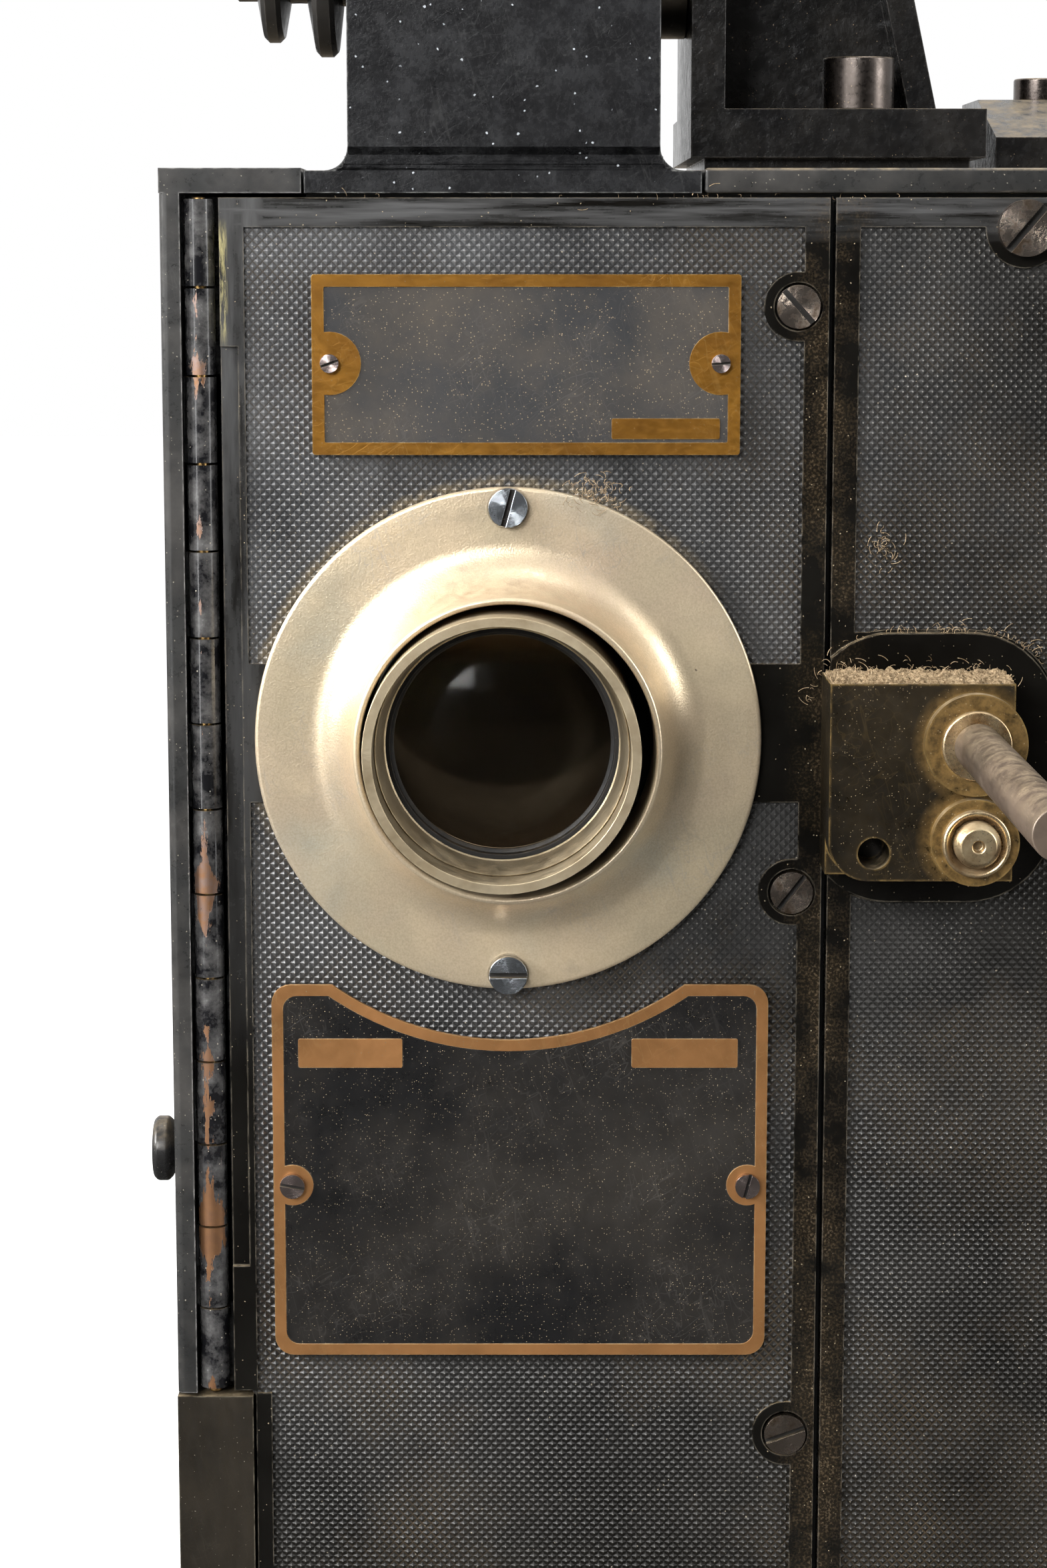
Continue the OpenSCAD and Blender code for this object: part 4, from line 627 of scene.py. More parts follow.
def collarFinish():  # satin nickel gone champagne, with a sandy sparkle and soft tarnish
    material, shader = newFinish("collarNickel")
    look = collarLook
    dull = cloud(40.0, 7.0, 0.68, 0.45, 0.7, 0, 0.7)
    stain = cloud(90.0, 7.0, 0.72, 0.6, 0.72, 0, 0.45)
    sand = cloud(2600.0, 2.0, 0.5, 0.35, 0.7)
    marks = maskOf(scratches, Scale=50.0, Stretch=20.0, Amount=0.4)
    dots = maskOf(specks, Scale=260.0, Size=0.07, Share=0.12)
    dust = maskOf(settledDust, Amount=0.85, Scale=420.0)
    wire(shader, "Base Color", layered(
        look["warm"], (cloud(22.0, 3.0, 0.55, 0.4, 0.62), look["pink"]),
        (cloud(34.0, 3.0, 0.55, 0.52, 0.75), look["cool"]), (dull, look["dull"]), (stain, look["stain"]),
        (times(sand, 0.4), look["sand"]), (marks, look["mark"]), (dots, look["pit"]), (dust, look["dust"])))
    wire(shader, "Metallic", times(minus(1.0, larger(dust, dots)), look["metal"]))
    wire(shader, "Roughness", plus(look["rough"], times(plus(dull, dust), 0.25)))
    addBump(shader, sand, 0.03 * mm, 0.5)
    return material


def screwFinish(name, bare, tarnish, share):  # turned steel: rings about each screw's own middle
    material, shader = newFinish(name)
    away = longness(addNode("Attribute", attribute_name="fromMiddle").outputs["Vector"])
    rings = calc("SINE", times(plus(away, times(noise(900.0, 2.0), 0.4 * mm)), 26000.0))
    stain = cloud(320.0, 5.0, 0.65, 0.62 - share, 0.8 - share)
    dust = maskOf(settledDust, Amount=0.7, Scale=500.0)
    turned = ranged(rings, 0.2, 1, 0, 0.3)
    wire(shader, "Base Color", layered(bare, (stain, tarnish), (turned, tuple(0.55 * part for part in bare)),
                                       (dust, dustTan)))
    wire(shader, "Metallic", 1.0)
    wire(shader, "Roughness", ranged(stain, 0, 1, 0.24, 0.42))
    addBump(shader, rings, 0.02 * mm, 0.4)
    return material


shaftX, shaftZ = midpoint("shutter_shaft")[::2]
pinX, pinZ = midpoint("guide_pin")[::2]
bracketLook = {
    "colour": (0.006, 0.0048, 0.003), "second": (0.016, 0.0115, 0.0055), "metal": 0.3, "rough": 0.32,
    "specular": 0.3, "wear": (0.26, 0.17, 0.06), "wearAmount": 0.9, "wearRadius": 0.8 * mm, "wearBreakup": 220.0,
    "patch": 60.0, "sharp": 0.2, "speckShare": 0.2, "speck": (0.22, 0.17, 0.1), "speckScale": 2200.0,
    "speckSize": 0.26, "dustAmount": 1.0, "scratch": 0.15, "haze": (0.05, 0.034, 0.015), "hazeAmount": 0.25,
    "hazeScale": 60.0, "bosses": [(shaftX, shaftZ, 10.3 * mm), (pinX, pinZ, 9.6 * mm)],
}
finish["bracketBronze"] = agedFinish("bracketBronze", **bracketLook)
finish["coverBlack"] = coverFinish()
finish["flakedBlack"] = hingeFinish()
finish["collarNickel"] = collarFinish()
finish["coverScrew"] = screwFinish("coverScrew", (0.3, 0.25, 0.21), (0.07, 0.048, 0.03), 0.14)
finish["collarScrew"] = screwFinish("collarScrew", (0.4, 0.43, 0.46), (0.12, 0.13, 0.15), 0.06)
finish["plateScrew"] = screwFinish("plateScrew", (0.4, 0.33, 0.31), (0.24, 0.14, 0.11), 0.04)
# painted shade: a near-black finish for the screw slots, where shade falls into the recess
finish["slotPaintedShade"] = agedFinish("slotPaintedShade", colour=(0.004, 0.0035, 0.003), second=(0.012, 0.009, 0.006),
                                rough=0.6, speckShare=0.3, wearAmount=0.2, dustAmount=0.5)
print("finishes ready:", len(finish))


# Knurled fields of the front covers

# the two greys are lit copies of the two blacks, used for painted light on the upper left of the knurl
knurl = {"halfWide": 1.0 * mm, "halfTall": 1.05 * mm, "floor": 0.86 * mm, "tall": 0.68 * mm, "border": 5 * mm,
         "black": (0.005, 0.0045, 0.0035), "litGrey": (0.03, 0.0305, 0.032), "softBlack": (0.018, 0.016, 0.013),
         "litSoftGrey": (0.13, 0.132, 0.135), "tip": (0.36, 0.345, 0.32), "grime": (0.1, 0.072, 0.042),
         "dots": (0.3, 0.26, 0.2), "ring": (0.17, 0.14, 0.095)}


def knurlFinish():  # greyer to the upper left as painted light, where the light falls; bright on the worn tips, with painted light making them brighter towards the top; brown in the grooves and round the collar
    material, shader = newFinish("knurledBlack")
    parts = partsOf()
    low, top = frontY + knurl["floor"], frontY + knurl["floor"] - knurl["tall"]
    tip = ranged(parts["Y"], low * 0.25 + top * 0.75, top)
    groove = ranged(parts["Y"], low * 0.7 + top * 0.3, low)
    patches = placed(mottle, Scale=24.0, Sharpness=0.2)
    high = ranged(parts["Z"], topZ - 300 * mm, topZ - 40 * mm)
    # worn tips in patches, with painted light making them brighter towards the top
    tipWearPaintedLight = times(tip, times(cloud(60.0, 5.0, 0.7, 0.36, 0.64), ranged(high, 0, 1, 0.5, 1.0)))
    grime = times(groove, cloud(20.0, 7.0, 0.68, 0.46, 0.72))
    dots = maskOf(specks, Scale=900.0, Size=0.16, Share=0.1)
    # painted light: the knurl and its patches turn from black to grey towards the upper left, where the light falls
    pale = times(high, ranged(parts["X"], seamX + 50 * mm, lensCover[0].x, 0.1, 1.0))
    slope, start = 0.6, collarZ - collarX * 0.6
    upperLeft = ranged(minus(parts["Z"], times(parts["X"], slope)), start, start + 30 * mm)
    ring = times(ranged(fromAxis(parts, collarX, collarZ), 54.8 * mm, 53.2 * mm), upperLeft)
    ring = times(ring, cloud(500.0, 4.0, 0.55, 0.3, 0.55))
    wire(shader, "Base Color", layered(
        mixed(pale, knurl["black"], knurl["litGrey"]),
        (patches["Mask"], mixed(pale, knurl["softBlack"], knurl["litSoftGrey"])), (tipWearPaintedLight, knurl["tip"]),
        (grime, knurl["grime"]), (dots, knurl["dots"]), (times(ring, 0.7), knurl["ring"])))
    wire(shader, "Roughness", plus(ranged(patches["Fine"], 0.3, 0.7, 0.22, 0.36), ranged(high, 0, 1, 0.16, 0.0)))
    toLeft = ranged(parts["X"], seamX + 40 * mm, lensCover[0].x, 0.62, 1.25)
    wire(shader, "Specular IOR Level", times(ranged(high, 0, 1, 0.14, 0.36), toLeft))
    addBump(shader, noise(1500.0, 3.0), 0.05 * mm, 0.5)
    return material


def knurledField(name, low, high, smooth):  # low and high are the field's corners as (x, z)
    wide, tall = high[0] - low[0], high[1] - low[1]
    midX, midZ = between(low, high)
    count = int((wide + tall) / (2 * knurl["halfWide"])) + 4
    piece = formed(bpy.ops.mesh.primitive_grid_add, name, x_subdivisions=count, y_subdivisions=count,
                   size=count * math.sqrt(0.5), rotation=(0, 0, math.pi / 4))
    piece.scale = (2 * knurl["halfWide"], 2 * knurl["halfTall"], 1)
    settle(piece)
    piece.rotation_euler = (math.pi / 2, 0, 0)
    piece.location = (midX, frontY + knurl["floor"], midZ)
    settle(piece)
    reach = knurl["halfWide"] * 0.9

    def outside(centre, normal):
        x, z = centre.x, centre.z
        if not (low[0] - reach < x < high[0] + reach and low[1] - reach < z < high[1] + reach):
            return True
        return smooth(x, z, reach)

    editFaces(piece, outside)
    bpy.ops.mesh.delete(type="FACE")
    selectAll()
    bpy.ops.mesh.poke(offset=knurl["tall"])
    objectMode()
    piece.data.materials.append(knurled)
    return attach(piece, "housing")


def inBox(x, z, box, reach):
    return box[0] + reach < x < box[2] - reach and box[1] + reach < z < box[3] - reach


def platePatch(node, inset, lift=0):  # the smooth land under a brass plate, as (x0, z0, x1, z1)
    low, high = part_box(node)
    return (low.x + inset, low.z + inset, high.x - inset, high.z - inset - lift)


upperPatch = platePatch("upper_plate", 2 * mm)
lowerPatch = platePatch("lower_plate", 3 * mm, 14 * mm)
collarClear = 49.2 * mm
screwClear = 7 * mm
seamScrewX = seamX - 6.8 * mm
seamScrewZ = [topZ - drop * mm for drop in (27.7, 148.4, 266)]
bandLow, bandHigh = collarZ - 13.2 * mm, collarZ + 15.8 * mm
hingePostX = -92.4 * mm
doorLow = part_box("film_door")[0].z


def lensSideSmooth(x, z, reach):
    if math.hypot(x - collarX, z - collarZ) < collarClear - reach or bandLow + reach < z < bandHigh - reach:
        return True
    if inBox(x, z, upperPatch, reach) or inBox(x, z, lowerPatch, reach):
        return True
    if z < doorLow and x < hingePostX - reach:
        return True
    for screwZ in seamScrewZ:
        near = math.hypot(x - seamScrewX, z - screwZ) < screwClear - reach
        if near or (x > seamScrewX and abs(z - screwZ) < screwClear - reach):
            return True
    return False


bracketX, bracketZ = midpoint("shutter_bracket")[::2]
pad = {"x": bracketX + 4 * mm, "z": bracketZ, "halfWide": 8.5 * mm, "halfTall": 10.5 * mm, "round": 18 * mm}
bigScrew, bigScrewClear = (seamX + 38.8 * mm, topZ - 12 * mm), 8 * mm
sideScrews = [(103.5 * mm, 30 * mm), (103.5 * mm, 334 * mm)]


def gearSideSmooth(x, z, reach):
    dx, dz = abs(x - pad["x"]) - pad["halfWide"], abs(z - pad["z"]) - pad["halfTall"]
    if math.hypot(max(dx, 0), max(dz, 0)) < pad["round"] - reach:
        return True
    if math.hypot(x - bigScrew[0], z - bigScrew[1]) < bigScrewClear - reach:
        return True
    return any(math.hypot(x - sx, z - sz) < screwClear - reach for sx, sz in sideScrews)


knurled = knurlFinish()
fieldTop = lensCover[1].z - knurl["border"] - 0.9 * mm
fieldLow = lensCover[0].z + knurl["border"]
knurledField("lens_side_knurl", (-95.4 * mm, fieldLow),
             (lensCover[1].x - knurl["border"], fieldTop), lensSideSmooth)
knurledField("gear_side_knurl", (gearCover[0].x + knurl["border"], fieldLow),
             (gearCover[1].x - knurl["border"], fieldTop), gearSideSmooth)
print("knurled fields made")


# Nodes that keep their CAD shape get a finish and rounded edges: node: (finish, edge width in mm)

dressing = {
    "base_casting": ("postBlack", 0.8), "centre_frame": ("paintedIron", 0.5),
    "rear_wall": ("japannedBlack", 0.6), "top_deck": ("paintedIron", 0.5),
    "top_plate": ("rubbedBlack", 0.7), "lens_side_cover": ("coverBlack", 0.22),
    "gear_side_cover": ("coverBlack", 0.22), "side_cover": ("japannedBlack", 0.8),
    "cover_screws": ("coverScrew", 0.15), "collar_screws": ("collarScrew", 0.12),
    "plate_screws": ("plateScrew", 0.1), "fixed_hinge_leaf": ("flakedBlack", 0.25),
    "hinge_pin": ("gearBrass", 0.3), "film_door": ("rubbedBlack", 0.5),
    "door_hinge_leaf": ("flakedBlack", 0.25), "window_frame": ("nickelled", 0.6),
    "door_knob": ("japannedBlack", 0.4), "film_chute": ("towerBlack", 0.6),
    "chute_roller": ("brightSteel", 0.4), "chute_knob": ("japannedBlack", 0.5),
    "magazine_bracket": ("castBlack", 0.9), "top_bolts": ("nutSteel", 0.5),
    "shutter_bracket": ("bracketBronze", 0.5), "bracket_bushes": ("bushBrass", 0.4),
    "guide_pin": ("bushBrass", 0.3), "shutter_shaft": ("shaftSteel", 0.4),
    "shutter_pinion": ("gearBrass", 0.15), "lens_carrier": ("paintedIron", 0.5),
    "focus_knob": ("gearBrass", 0.12), "aperture_plate": ("brightSteel", 0.4), "gate": ("paintedIron", 0.4),
    "light_cone": ("japannedBlack", 0.3), "fire_shutter": ("brightSteel", 0.25),
    "intermittent_case": ("paintedIron", 0.6), "star_wheel": ("brightSteel", 0.2),
    "intermittent_sprocket": ("brightSteel", 0.2), "cam_wheel": ("brightSteel", 0.3),
    "flywheel": ("brightSteel", 0.2), "crank_gear": ("brightSteel", 0.2), "crank_arm": ("paintedIron", 0.9),
    "drive_shaft": ("brightSteel", 0.2), "drive_gear": ("gearBrass", 0.15),
    "idler_gear": ("gearBrass", 0.2), "upper_sprocket": ("brightSteel", 0.2),
    "upper_gear": ("gearBrass", 0.2), "lower_sprocket": ("brightSteel", 0.2),
    "lower_gear": ("gearBrass", 0.2), "upper_pad_arm": ("paintedIron", 0.4),
    "lower_pad_arm": ("paintedIron", 0.4), "upper_pad_roller": ("brightSteel", 0.3),
    "lower_pad_roller": ("brightSteel", 0.3), "bearing_bridge": ("paintedIron", 0.7),
    "crank_grip": ("gripWood", 0.8),
}


def bodyOfNode(node):
    return body_of(frame["nodes"][node])[0]


def dressNode(node, finishName, edge):
    copied = frame["nodes"][node].data.copy()
    copied.materials.clear()
    piece = show(bpy.data.objects.new(node + "_dressed", copied))
    editAll(piece)
    bpy.ops.mesh.remove_doubles(threshold=0.002 * mm)
    bpy.ops.mesh.dissolve_limited(angle_limit=math.radians(0.4))
    objectMode()
    softEdges(piece, edge * mm)
    piece.data.materials.append(finish[finishName])
    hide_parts(node)
    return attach(piece, bodyOfNode(node))


for node, (finishName, edge) in dressing.items():
    dressNode(node, finishName, edge)
print("nodes dressed:", len(dressing))


def markScrews(piece):  # tells the material how far a point is from its screw's middle, and paints shade into the slots
    piece.data.materials.append(finish["slotPaintedShade"])
    editAll(piece)
    bpy.ops.mesh.separate(type="LOOSE")
    objectMode()
    parts = [piece] + [each for each in bpy.context.selected_objects if each != piece]
    for part in parts:
        low, high = [Vector(corner) for corner in extent([vertex.co for vertex in part.data.vertices])]
        size = high - low
        along = max(range(3), key=lambda i: abs(3 * size[i] - sum(size)))  # two sides are the round head's
        head = (low + high) / 2
        head[along] = low[along] if along == 1 else high[along]
        reach = max(high[i] - low[i] for i in range(3) if i != along) / 2
        offsets = part.data.attributes.new("fromMiddle", "FLOAT_VECTOR", "POINT")
        for vertex, item in zip(part.data.vertices, offsets.data):
            item.vector = vertex.co - head
        for face in part.data.polygons:
            offset = face.center - head
            depth = abs(offset[along])
            offset[along] = 0
            # painted shade: the slot's floor and walls take the near-black finish
            inside = offset.length < 0.9 * reach and 0.3 * mm < depth < 2.5 * mm
            if inside and (abs(face.normal[along]) > 0.9 or abs(face.normal.dot(offset)) < 0.4 * reach):
                face.material_index = 1
    return joinAll(parts[0], parts[1:])


for node in ("cover_screws", "collar_screws", "plate_screws"):
    markScrews(bpy.data.objects[node + "_dressed"])
print("screws marked")


# Turned collar round the lens opening

collar = {"outer": 52.2, "neck": 29.85, "flat": 2.4, "filletWide": 9.8, "filletTall": 13.1, "lip": 0.72,
          "lipRise": 18.1, "screwBore": 4.3}


def lensCollar():
    inner = collar["neck"] + collar["lip"] * 2
    outside = [(collar["outer"], 0), (collar["outer"], 1.9), (collar["outer"] - 0.12, 2.2),
               (collar["outer"] - 0.4, collar["flat"]), (collar["outer"] - 0.8, collar["flat"] + 0.03),
               (collar["outer"] - 5, collar["flat"] + 0.05)]
    steps = 20
    for i in range(steps + 1):
        turn = math.radians(90 * i / steps)
        outside.append((inner + collar["filletWide"] * (1 - math.sin(turn)),
                        collar["flat"] + 0.05 + collar["filletTall"] * (1 - math.cos(turn))))
    lip = arc(inner - collar["lip"], collar["lipRise"], collar["lip"], 0, 180, 8)
    wall = [(collar["neck"], 9), (collar["neck"], 0.2), (collar["neck"] + 0.8, 0)]
    profile = [(r * mm, frontY - h * mm) for r, h in outside + lip + wall]
    piece = spunY("collar", profile, collarX, collarZ, 144)
    low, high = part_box("collar_screws")
    for z in (high.z - 4 * mm, low.z + 4 * mm):
        cutAway(piece, rodY("bore", collarX, z, frontY - 8 * mm, frontY - 2.15 * mm, collar["screwBore"] * mm))
    smoothed(piece, 35)
    piece.data.materials.append(finish["collarNickel"])
    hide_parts("lens_collar")
    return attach(piece, "housing")


# Brass plates: a border, tabs and bare windows stand over an etched dark field

brassPlates = {
    "upper_plate": {"corner": 0.6, "border": 2.5, "notch": 0, "tab": 6.4, "etch": 0.25,
                    "windows": [(17.4, -15.0, 39.4, -10.8)], "metal": "plateGold", "field": "fieldGrey"},
    "lower_plate": {"corner": 4.0, "border": 2.4, "notch": 63.4, "tab": 4.4, "etch": 0.25,
                    "windows": [(-46.4, 22.4, -24.6, 28.6), (23.4, 22.4, 45.6, 28.6)],
                    "metal": "plateCopper", "field": "fieldBlack"},
}
plateScrews = {"upper_plate": [(-39.9, 0.3), (39.5, 0.3)], "lower_plate": [(-47.9, -3), (47.9, -3)]}


def plateBlock(name, low, high, corner, y0, y1):  # corners as (x, z), round corners, between two depths
    midX, midZ = between(low, high)
    piece = formed(bpy.ops.mesh.primitive_plane_add, name, (high[0] - low[0], high[1] - low[1], 1),
                   size=1, rotation=(math.pi / 2, 0, 0), location=(midX, y0, midZ))
    editAll(piece)
    bpy.ops.mesh.bevel(offset=corner, segments=6, affect="VERTICES")
    selectAll()
    extrude(0, y1 - y0, 0)
    objectMode()
    return outward(piece)


def brassPlate(node):
    look = brassPlates[node]
    low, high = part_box(node)
    face, back = low.y, high.y
    border = look["border"] * mm
    piece = plateBlock(node + "_sheet", (low.x, low.z), (high.x, high.z), look["corner"] * mm, back, face)
    floorY = face + look["etch"] * mm
    tool = plateBlock("etching", (low.x + border, low.z + border), (high.x - border, high.z - border),
                      max(look["corner"] * mm - border * 0.5, 0.3 * mm), floorY, face - 2 * mm)
    if look["notch"]:
        reach = look["notch"] * mm
        cutAway(piece, rodY("notch", collarX, collarZ, back + mm, face - 3 * mm, reach, 128))
        cutAway(tool, rodY("notch", collarX, collarZ, back + 3 * mm, face - 5 * mm, reach + border, 128))
    midX, midZ = midpoint(node)[::2]
    for sx, sz in plateScrews[node]:
        cutAway(tool, rodY("tab", midX + sx * mm, midZ + sz * mm, back + 3 * mm, face - 5 * mm, look["tab"] * mm))
    for x0, z0, x1, z1 in look["windows"]:
        cutAway(tool, plateBlock("window", (midX + x0 * mm, midZ + z0 * mm), (midX + x1 * mm, midZ + z1 * mm),
                                 0.4 * mm, back + 3 * mm, face - 5 * mm))
    cutAway(piece, tool)
    softEdges(piece, 0.07 * mm, 2, 50)
    piece.data.materials.append(finish[look["metal"]])
    secondFinish(piece, finish[look["field"]],
                 lambda centre, normal: abs(centre.y - floorY) < 0.02 * mm and normal.y < -0.9)
    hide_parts(node)
    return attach(piece, "housing")


# Barrel: the cell inside the tube is black, and a turned ring holds the front glass

barrel = {"bore": 26.0, "cellIn": 18.0, "blackIn": 17.3, "glassRadius": 22.9, "glassIn": 21.0, "bulge": 32,
          "rise": 4.2, "sphere": 26.784}
retainer = [(25.9, 19.0), (25.9, 9.0), (25.7, 8.8), (25.4, 9.2), (24.2, 17.2), (23.9, 17.4), (23.9, 18.0),
            (23.5, 18.2), (23.2, 20.2), (22.6, 20.4), (22.3, 20.6), (22.3, 21.0), (25.9, 21.0)]  # radius, depth


def lensBarrel():
    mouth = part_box("lens_barrel")[0].y

    def inCell(centre, normal):
        across = math.hypot(centre.x - tubeX, centre.z - collarZ)
        return across < (barrel["bore"] - 0.02) * mm and centre.y > mouth + (barrel["cellIn"] - 0.1) * mm

    def turned(name, profile):
        return spunY(name, [(r * mm, mouth + d * mm) for r, d in profile], tubeX, collarZ)

    secondFinish(dressNode("lens_barrel", "barrelNickel", 0.45), finish["cellBlack"], inCell)
    holder = turned("glass_retainer", retainer)
    holder.data.materials.append(finish["barrelNickel"])
    secondFinish(holder, finish["cellBlack"], lambda centre, normal: centre.y > mouth + barrel["blackIn"] * mm)
    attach(holder, "lens")
    edge = math.radians(barrel["bulge"])
    angles = [math.radians(a) for a in range(barrel["bulge"], -1, -4)]
    crown = barrel["glassIn"] + barrel["rise"]
    bulge = [(barrel["glassRadius"] * math.sin(a) / math.sin(edge),
              crown - barrel["sphere"] * (math.cos(a) - math.cos(edge))) for a in angles]
    back = [(r, barrel["glassIn"] + d) for r, d in ((0, 6.4), (12, 6.0), (barrel["glassRadius"], 4.9))]
    glass = turned("front_glass", bulge + back)
    glass.data.materials.append(clearGlass("lensGlass", (0.5, 0.37, 0.23), 0.1, 1.18))
    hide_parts("lens_glass")
    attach(glass, "lens")


# Flared root of the chute, a hollow curve that covers the stepped one

root = {"radius": 4.7 * mm, "steps": 9}


def chuteRoot():
    low, high = levelRing("film_chute")
    radius, foot = root["radius"], topZ - 0.5 * mm
    midX, midY = between(low, high)
    wide, deep = high[0] - low[0], high[1] - low[1]
    piece = formed(bpy.ops.mesh.primitive_plane_add, "chute_root", (wide, deep, 1), size=1,
                   location=(midX, midY, foot + radius))
    editAll(piece)
    reach = 0.0
    for i in range(1, root["steps"] + 1):
        turn = math.radians(90 * i / root["steps"])
        drop = radius * (math.sin(turn) - math.sin(math.radians(90 * (i - 1) / root["steps"])))
        grown = radius * (1 - math.cos(turn))
        extrude(0, 0, -drop)
        widen = ((wide + 2 * grown) / (wide + 2 * reach), (deep + grown) / (deep + reach), 1)
        bpy.ops.transform.resize(value=widen, center_override=(midX, low[1], foot))
        reach = grown
    objectMode()
    outward(piece)
    smoothed(piece, 40)
    piece.data.materials.append(finish["towerBlack"])
    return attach(piece, bodyOfNode("film_chute"))


def levelRing(node):  # the sides of the upright part of the chute, read half way up
    source = frame["nodes"][node].data
    middle = topZ + 0.5 * (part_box(node)[1].z - topZ)
    sides = [[source.vertices[i].co for i in face.vertices] for face in source.polygons
             if abs(face.normal.z) < 0.1 and min(source.vertices[i].co.z for i in face.vertices) < middle
             < max(source.vertices[i].co.z for i in face.vertices)]
    return extent([co for face in sides for co in face], 2)


chuteRoot()
lensCollar()
brassPlate("upper_plate")
brassPlate("lower_plate")
lensBarrel()
print("collar, plates and barrel made")


# Glass of the door's window

def glazeNode(node, material):
    source = frame["nodes"][node]
    source.data.materials.clear()
    source.data.materials.append(material)


glazeNode("window_glass", clearGlass("windowGlass", (0.8, 0.84, 0.8), 0.04))
print("glass done")


# Lint and dust that lie on the front: a few threads are made, then copied, turned and joined

threads = {"thick": 0.06 * mm, "arcs": [(0.4, 3.0), (0.8, 2.0), (1.6, 1.1), (3.0, 0.8)],
           "pale": (0.54, 0.42, 0.27), "deep": (0.24, 0.16, 0.09)}


def lintFinish(name, pale, deep):
    material, shader = newFinish(name)
    shade = cloud(1500.0, 5.0, 0.7, 0.36, 0.62)
    wire(shader, "Base Color", mixed(shade, pale, deep))
    wire(shader, "Roughness", 0.9)
    wire(shader, "Specular IOR Level", 0.1)
    addBump(shader, noise(2600.0, 5.0, 0.7), 0.5 * mm, 1.0)
    return material


threadLook = lintFinish("dryThread", threads["pale"], threads["deep"])
fluffStep = 0.4 * mm
fluffLook = lintFinish("dryFluff", (0.44, 0.33, 0.2), (0.13, 0.085, 0.045))


def oneThread(bend, turn):  # a thin closed thread bent about its own origin
    piece = formed(bpy.ops.mesh.primitive_circle_add, "thread", vertices=3, radius=threads["thick"],
                   fill_type="NGON", rotation=(math.pi / 2, 0, 0), location=(bend * mm, 0, 0))
    editAll(piece)
    bpy.ops.mesh.spin(steps=7, angle=turn, center=(0, 0, 0), axis=(0, 0, 1))
    selectAll()
    bpy.ops.mesh.fill_holes(sides=3)
    objectMode()
    return outward(piece)


def layThreads(name, places, body, lean=0.3):
    sources = [oneThread(bend, turn) for bend, turn in threads["arcs"]]
    laid = []
    for place in places:
        source = random.choice(sources)
        thread = source.copy()
        thread.data = source.data.copy()
        show(thread)
        thread.rotation_euler = (math.pi / 2 + random.uniform(-lean, lean), random.uniform(0, 6.28),
                                 random.uniform(-lean, lean))
        thread.scale = [random.uniform(0.6, 1.15)] * 3
        thread.location = place
        laid.append(thread)
    for source in sources:
        bpy.data.objects.remove(source, do_unlink=True)
    piece = settle(joinAll(laid[0], laid[1:]), name)
    piece.data.materials.append(threadLook)
    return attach(piece, body)


def cluster(spot):  # about a spot on the front, measured from the collar's middle
    return [(collarX + spot["x"] + random.gauss(0, spot["wide"] / 2),
             frontY - spot["depth"] - random.uniform(0, 0.5) * mm,
             collarZ + spot["z"] + random.gauss(0, spot["tall"] / 2)) for i in range(spot["count"])]


def alongTop(low, high, count, rise):
    return [(random.uniform(low[0], high[0]), random.uniform(low[1], high[1]), low[2] + random.uniform(0, rise))
            for i in range(count)]


def fluffBed(name, low, high, thick, body):  # a lumpy bed of fluff on a level face
    wide, deep = high[0] - low[0], high[1] - low[1]
    piece = formed(bpy.ops.mesh.primitive_grid_add, name, (wide, deep, 1), size=1,
                   x_subdivisions=int(wide / fluffStep), y_subdivisions=int(deep / fluffStep),
                   location=(*between(low[:2], high[:2]), low[2] + thick * 0.5))
    editAll(piece)
    bpy.ops.transform.vertex_random(offset=thick * 1.6, uniform=0.15, normal=1.0, seed=7)
    bpy.ops.mesh.vertices_smooth(factor=0.5, repeat=2)
    extrude(0, 0, -2 * thick)
    bpy.ops.transform.resize(value=(1, 1, 0), center_override=(0, 0, low[2] - 0.1 * mm))
    objectMode()
    outward(piece)
    smoothed(piece, 50)
    piece.data.materials.append(fluffLook)
    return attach(piece, body)


def levelFace(node, drop=0.3 * mm):  # the highest level face of a piece, as its low and high corners
    source = frame["nodes"][node].data
    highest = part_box(node)[1].z
    return extent([source.vertices[i].co for face in source.polygons
                   if face.normal.z > 0.95 and face.center.z > highest - drop for i in face.vertices])


lint = {
    "block": {"count": 260, "rise": 1.4 * mm, "lean": 1.2, "inset": 0.3 * mm, "fluff": 0.8 * mm},
    "pad": {"count": 130, "start": 0.2, "top": 1.57, "proud": (0.1, 0.8), "stray": (-0.4, 0.6), "lean": 0.5},
    "collar": {"x": 18 * mm, "z": 51.5 * mm, "wide": 5 * mm, "tall": 3 * mm, "depth": 3 * mm, "count": 110},
    "knurl": {"x": 77 * mm, "z": 40 * mm, "wide": 2.2 * mm, "tall": 4 * mm, "depth": 0.3 * mm, "count": 34},
    "ledge": {"left": 20 * mm, "right": 6 * mm, "deep": 2 * mm, "count": 60, "rise": 0.4 * mm, "lean": 0.8},
}


def blockLint():
    look, body = lint["block"], bodyOfNode("shutter_bracket")
    low, high = levelFace("shutter_bracket")
    inset = look["inset"]
    fluffBed("block_fluff", (low[0] + inset, low[1] + inset, low[2]),
             (high[0] - inset, high[1] - inset, high[2]), look["fluff"], body)
    layThreads("block_lint", alongTop(low, high, look["count"], look["rise"]), body, look["lean"])


def padLint():  # two thirds on the pad's round corners, the rest along its top
    look, places = lint["pad"], []
    for i in range(look["count"]):
        turn, side = random.uniform(look["start"], look["top"]), random.choice((1, 1, -1))
        wide = pad["halfWide"] if i % 3 else random.uniform(-1, 1) * pad["halfWide"] * side
        turn = turn if i % 3 else look["top"]
        out = frontY - random.uniform(*look["proud"]) * mm
        above = pad["z"] + pad["halfTall"] + pad["round"] * math.sin(turn)
        places.append((pad["x"] + side * (wide + pad["round"] * math.cos(turn)), out,
                       above + random.uniform(*look["stray"]) * mm))
    layThreads("pad_lint", places, "housing", look["lean"])


